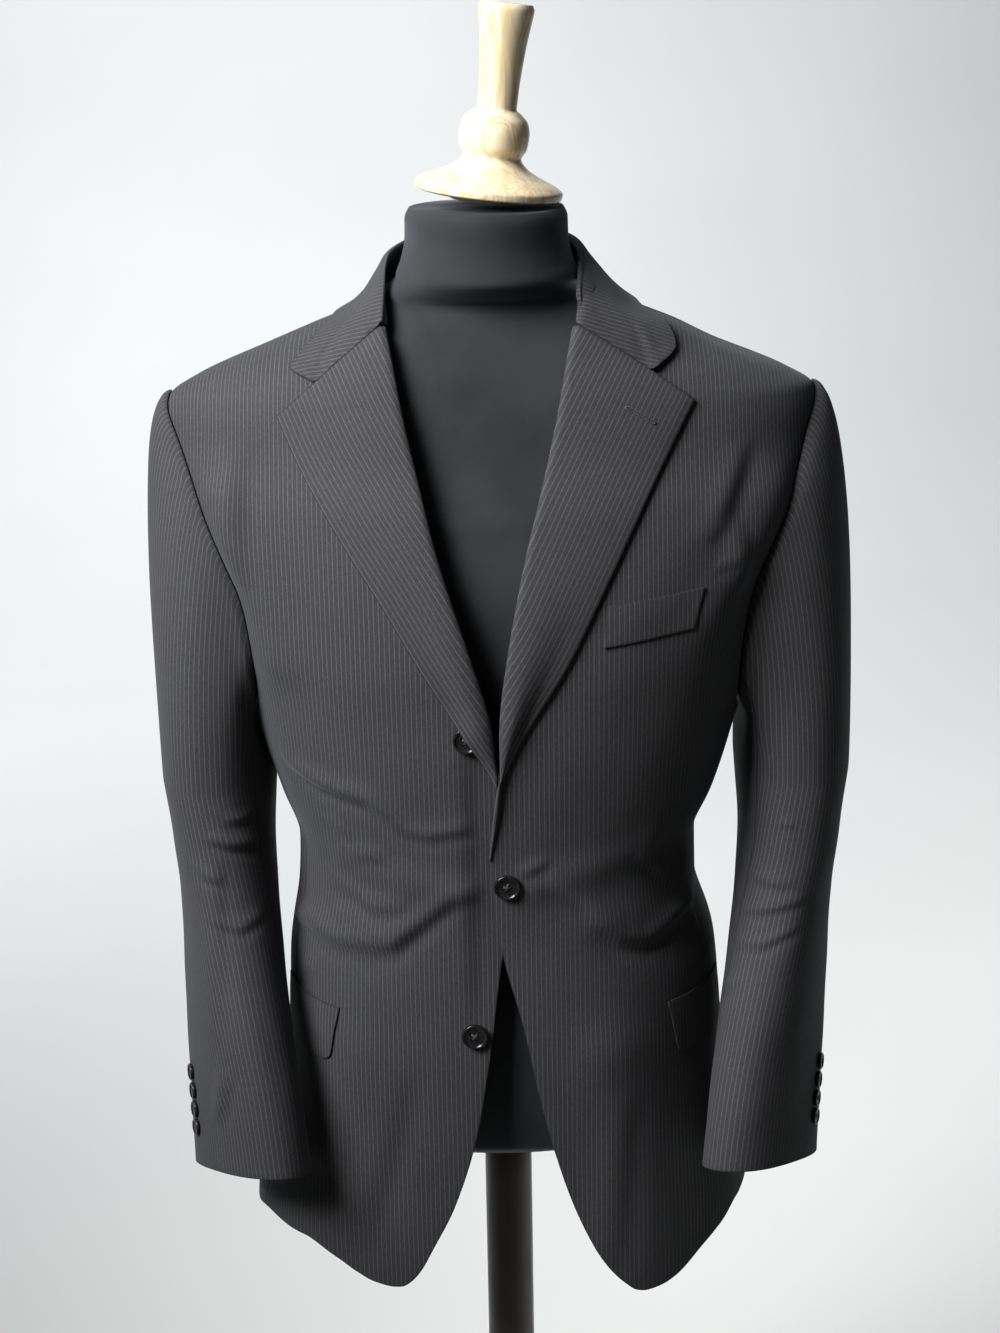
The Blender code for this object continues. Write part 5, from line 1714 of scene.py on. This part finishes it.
class SUIT_OT_buttonhole(bpy.types.Operator):
    """The buttonhole worked in the left lapel"""

    bl_idname = "suit.buttonhole"
    bl_label = "Buttonhole"

    def execute(self, context):
        place = lapel_places(LEFT)
        share = np.linspace(*BUTTONHOLE_ACROSS, 16)
        stops = np.linspace(3.0, 6.0, 200)
        u = np.interp(share, ROLLED.read(1, stops), stops) / 6
        up = np.full(16, BUTTONHOLE_UP)
        lowest = TAPER[LEFT].keys[0]
        face, beside = (place(u, (at - lowest) / (1 - lowest))[0] for at in (up, up + 0.01))
        normal = unit(np.cross(face[-1] - face[0], beside[8] - face[8]))
        normal = normal * np.sign(normal @ np.array((0.2, -1.0, 0.3)))
        stitched_slot("lapel_buttonhole", face + normal * SEAM, normal)
        return {"FINISHED"}


def button_mesh(radius, settings):
    """A four-hole button with a raised rim, and the thread that holds it."""
    thick, hole = radius * settings.thick, radius * settings.hole
    disc = turned_mesh("button_template", [(r * radius, h * thick) for r, h in BUTTON_PROFILE], 64)
    blank = link("button_blank", disc, material("horn"))
    offset = radius * HOLE_SPREAD
    used = [blank]
    for x, y in ((-1, -1), (-1, 1), (1, -1), (1, 1)):
        drill = turned_mesh("drill", [(hole, -thick), (hole, 2 * thick)], 20)
        drill.transform(Matrix.Translation((x * offset, y * offset, 0)))
        cutter = link("drill", drill)
        cut = blank.modifiers.new("hole", "BOOLEAN")
        cut.operation = "DIFFERENCE"
        cut.solver = "EXACT"
        cut.object = cutter
        used.append(cutter)
    bevelled(blank, "soft holes", radius * 0.018)
    graph = bpy.context.evaluated_depsgraph_get()
    mesh = bpy.data.meshes.new_from_object(blank.evaluated_get(graph))
    for thing in used:
        bpy.data.objects.remove(thing, do_unlink=True)
    mesh.shade_smooth()
    mesh.materials.append(material("thread"))
    joined = bmesh.new()
    joined.from_mesh(mesh)
    for across in (1, -1):
        end = np.array((1, across)) * offset
        for strand in (-1, 0, 1):
            add_strand(joined, -end, end, strand, radius, thick)
    joined.to_mesh(mesh)
    joined.free()
    return mesh


def add_strand(shape, start, end, strand, radius, thick):
    """One thread from hole to hole, over the middle of a button."""
    wire = radius * 0.032
    way = unit(end - start)
    beside = np.array((-way[1], way[0]))
    lift_over = radius * (0.05 + (0.035 if end[0] * end[1] > 0 else 0.0))
    rings = []
    for t in np.linspace(0.0, 1.0, 13):
        over = math.sin(math.pi * t) ** 0.5
        flat = mix(start, end, t) + beside * strand * wire * 1.7
        centre = np.array((*flat, thick * 0.35 + over * (thick * 0.27 + lift_over)))
        ring = []
        for n in range(6):
            a = 2 * math.pi * n / 6
            side = np.array((*(beside * math.cos(a) * wire), math.sin(a) * wire))
            ring.append(shape.verts.new(centre + side))
        rings.append(ring)
    for low, high in zip(rings, rings[1:]):
        for face in bridged(shape, low, high):
            face.material_index = 1
            face.smooth = True


def sewn_on(name, template, point, normal, node, spin):
    """A copy of a button on its cloth, facing along a normal and turned by spin degrees."""
    mesh = template.copy()
    mesh.name = name
    facing = Vector(normal).to_track_quat("Z", "Y").to_matrix().to_4x4()
    turned = facing @ Matrix.Rotation(math.radians(spin), 4, "Z")
    mesh.transform(Matrix.Translation(Vector(point)) @ turned)
    settle(link(name, mesh), "button", node)


class SUIT_OT_buttons(bpy.types.Operator):
    """Three buttons on the front and four at each cuff"""

    bl_idname = "suit.buttons"
    bl_label = "Buttons"

    def execute(self, context):
        settings = context.scene.suit_buttons
        large = button_mesh(settings.front_radius, settings)
        for name, side, across, height, raised, spin in (
            ("top", RIGHT, *TOP_BUTTON, -0.0001, 20.0),
            ("middle", LEFT, 0.0024, 1.0474, 0.0007, 35.0),
            ("bottom", RIGHT, 0.0239, 0.9257, 0.0003, 8.0),
        ):
            z = np.array([height])
            turn = turn_at(side, np.array([across]), z)
            normal = outward(side, turn, z)[0]
            point = bare(side, turn, z)[0] + normal * (raised + lift(side, turn, z)[0])
            sewn_on(f"horn_{name}", large, point, normal, f"button_{name}", spin)
        small = button_mesh(settings.cuff_radius, settings)
        for side, where in SIDES:
            for k in range(4):
                clock, row = np.array([CUFF_CLOCK]), np.array([CUFF_FIRST - CUFF_STEP * k])
                normal = sleeve_outward(side, clock, row)[0]
                point = sleeve_point(side, clock, row)[0] + normal * SEAM
                node = f"cuff_button_{where}_{k + 1}"
                sewn_on(f"horn_cuff_{where}_{k + 1}", small, point, normal, node, 15.0 + 37.0 * k)
        for template in (large, small):
            bpy.data.meshes.remove(template)
        return {"FINISHED"}


class SUIT_OT_studio(bpy.types.Operator):
    """A pale floor that sweeps up into a wall, soft light and the camera"""

    bl_idname = "suit.studio"
    bl_label = "Studio"

    def execute(self, context):
        settings = context.scene.suit_studio
        sweep(settings)
        for name, at, toward, spread, size, power, colour in (
            ("key", (-1.35, -0.95, 2.65), (0, 0, 1.45), 60.0, 1.2, settings.key, (1.0, 0.99, 0.97)),
            ("wash", (-1.4, 1.6, 5.0), (-0.4, 5.2, 0.6), 130.0, 2.0, settings.wash, (0.97, 0.99, 1.0)),
        ):
            light = bpy.data.lights.new(name, "AREA")
            light.size = size
            light.energy = power
            light.color = colour
            light.spread = math.radians(spread)
            lamp = bpy.data.objects.new(name, light)
            lamp.location = at
            lamp.rotation_euler = (Vector(toward) - Vector(at)).to_track_quat("-Z", "Y").to_euler()
            context.scene.collection.objects.link(lamp)
        room = bpy.data.worlds.new("room")
        room.use_nodes = True
        background = room.node_tree.nodes["Background"]
        background.inputs["Color"].default_value = (0.96, 0.985, 1.0, 1.0)
        background.inputs["Strength"].default_value = settings.room
        context.scene.world = room
        context.scene.view_settings.view_transform = "Standard"
        camera()
        return {"FINISHED"}


def sweep(settings):
    """The floor and wall, one sheet bent along an arc."""
    profile = [(FLOOR_FRONT, 0.0), (-2.0, 0.0), (settings.back - BEND, 0.0)]
    for k in range(1, 25):
        a = math.radians(90.0 * k / 24)
        profile.append((settings.back - BEND + BEND * math.sin(a), BEND * (1 - math.cos(a))))
    profile.append((settings.back, WALL_TOP))
    shape = bmesh.new()
    half = settings.width / 2
    edges = [[shape.verts.new((x, y, z)) for y, z in profile] for x in (-half, half)]
    for k in range(len(profile) - 1):
        shape.faces.new((edges[0][k], edges[1][k], edges[1][k + 1], edges[0][k + 1]))
    link("floor_and_wall", meshed(shape, "floor_and_wall"), material("floor_paint"))


def camera():
    """The camera, turned by the angle it looks down and then rolled about its own line of sight."""
    down, roll = math.radians(CAMERA_DOWN), math.radians(CAMERA_ROLL)
    forward = Vector((0.0, math.cos(down), -math.sin(down)))
    up = Vector((0.0, math.sin(down), math.cos(down)))
    right = Vector((1.0, 0.0, 0.0))
    level_right = right * math.cos(roll) - up * math.sin(roll)
    level_up = right * math.sin(roll) + up * math.cos(roll)
    lens = bpy.data.cameras.new("camera")
    lens.lens = CAMERA_LENS
    lens.sensor_fit = "VERTICAL"
    lens.sensor_height = CAMERA_FRAME
    seen = bpy.data.objects.new("camera", lens)
    turned = Matrix((level_right, level_up, -forward)).transposed()
    seen.matrix_world = Matrix.Translation(Vector(CAMERA_AT)) @ turned.to_4x4()
    bpy.context.scene.collection.objects.link(seen)
    bpy.context.scene.camera = seen


class SUIT_PT_panel(bpy.types.Panel):
    """Builds the parts of the jacket and its studio"""

    bl_label = "Suit"
    bl_idname = "SUIT_PT_panel"
    bl_space_type = "VIEW_3D"
    bl_region_type = "UI"
    bl_category = "Suit"

    def draw(self, context):
        for group in SETTINGS:
            box = self.layout.box()
            for name in SETTINGS[group].__annotations__:
                box.prop(getattr(context.scene, group), name)
        for step in STEPS:
            self.layout.operator(step.bl_idname)


SETTINGS = {"suit_cloth": ClothSettings, "suit_buttons": ButtonSettings, "suit_studio": StudioSettings}
STEPS = (
    SUIT_OT_form,
    SUIT_OT_neck_cap,
    SUIT_OT_stand,
    SUIT_OT_fronts,
    SUIT_OT_side_panels,
    SUIT_OT_backs,
    SUIT_OT_lapels,
    SUIT_OT_collar,
    SUIT_OT_sleeves,
    SUIT_OT_pockets,
    SUIT_OT_buttonhole,
    SUIT_OT_buttons,
    SUIT_OT_studio,
)


def register():
    for group, kind in SETTINGS.items():
        bpy.utils.register_class(kind)
        setattr(bpy.types.Scene, group, bpy.props.PointerProperty(type=kind))
    for kind in (*STEPS, SUIT_PT_panel):
        bpy.utils.register_class(kind)


def unregister():
    for kind in reversed((*STEPS, SUIT_PT_panel)):
        bpy.utils.unregister_class(kind)
    for group, kind in SETTINGS.items():
        delattr(bpy.types.Scene, group)
        bpy.utils.unregister_class(kind)


def main():
    register()
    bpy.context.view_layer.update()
    for step in STEPS:
        group, name = step.bl_idname.split(".")
        getattr(getattr(bpy.ops, group), name)()
    bpy.context.view_layer.update()


if __name__ == "__main__":
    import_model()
    main()
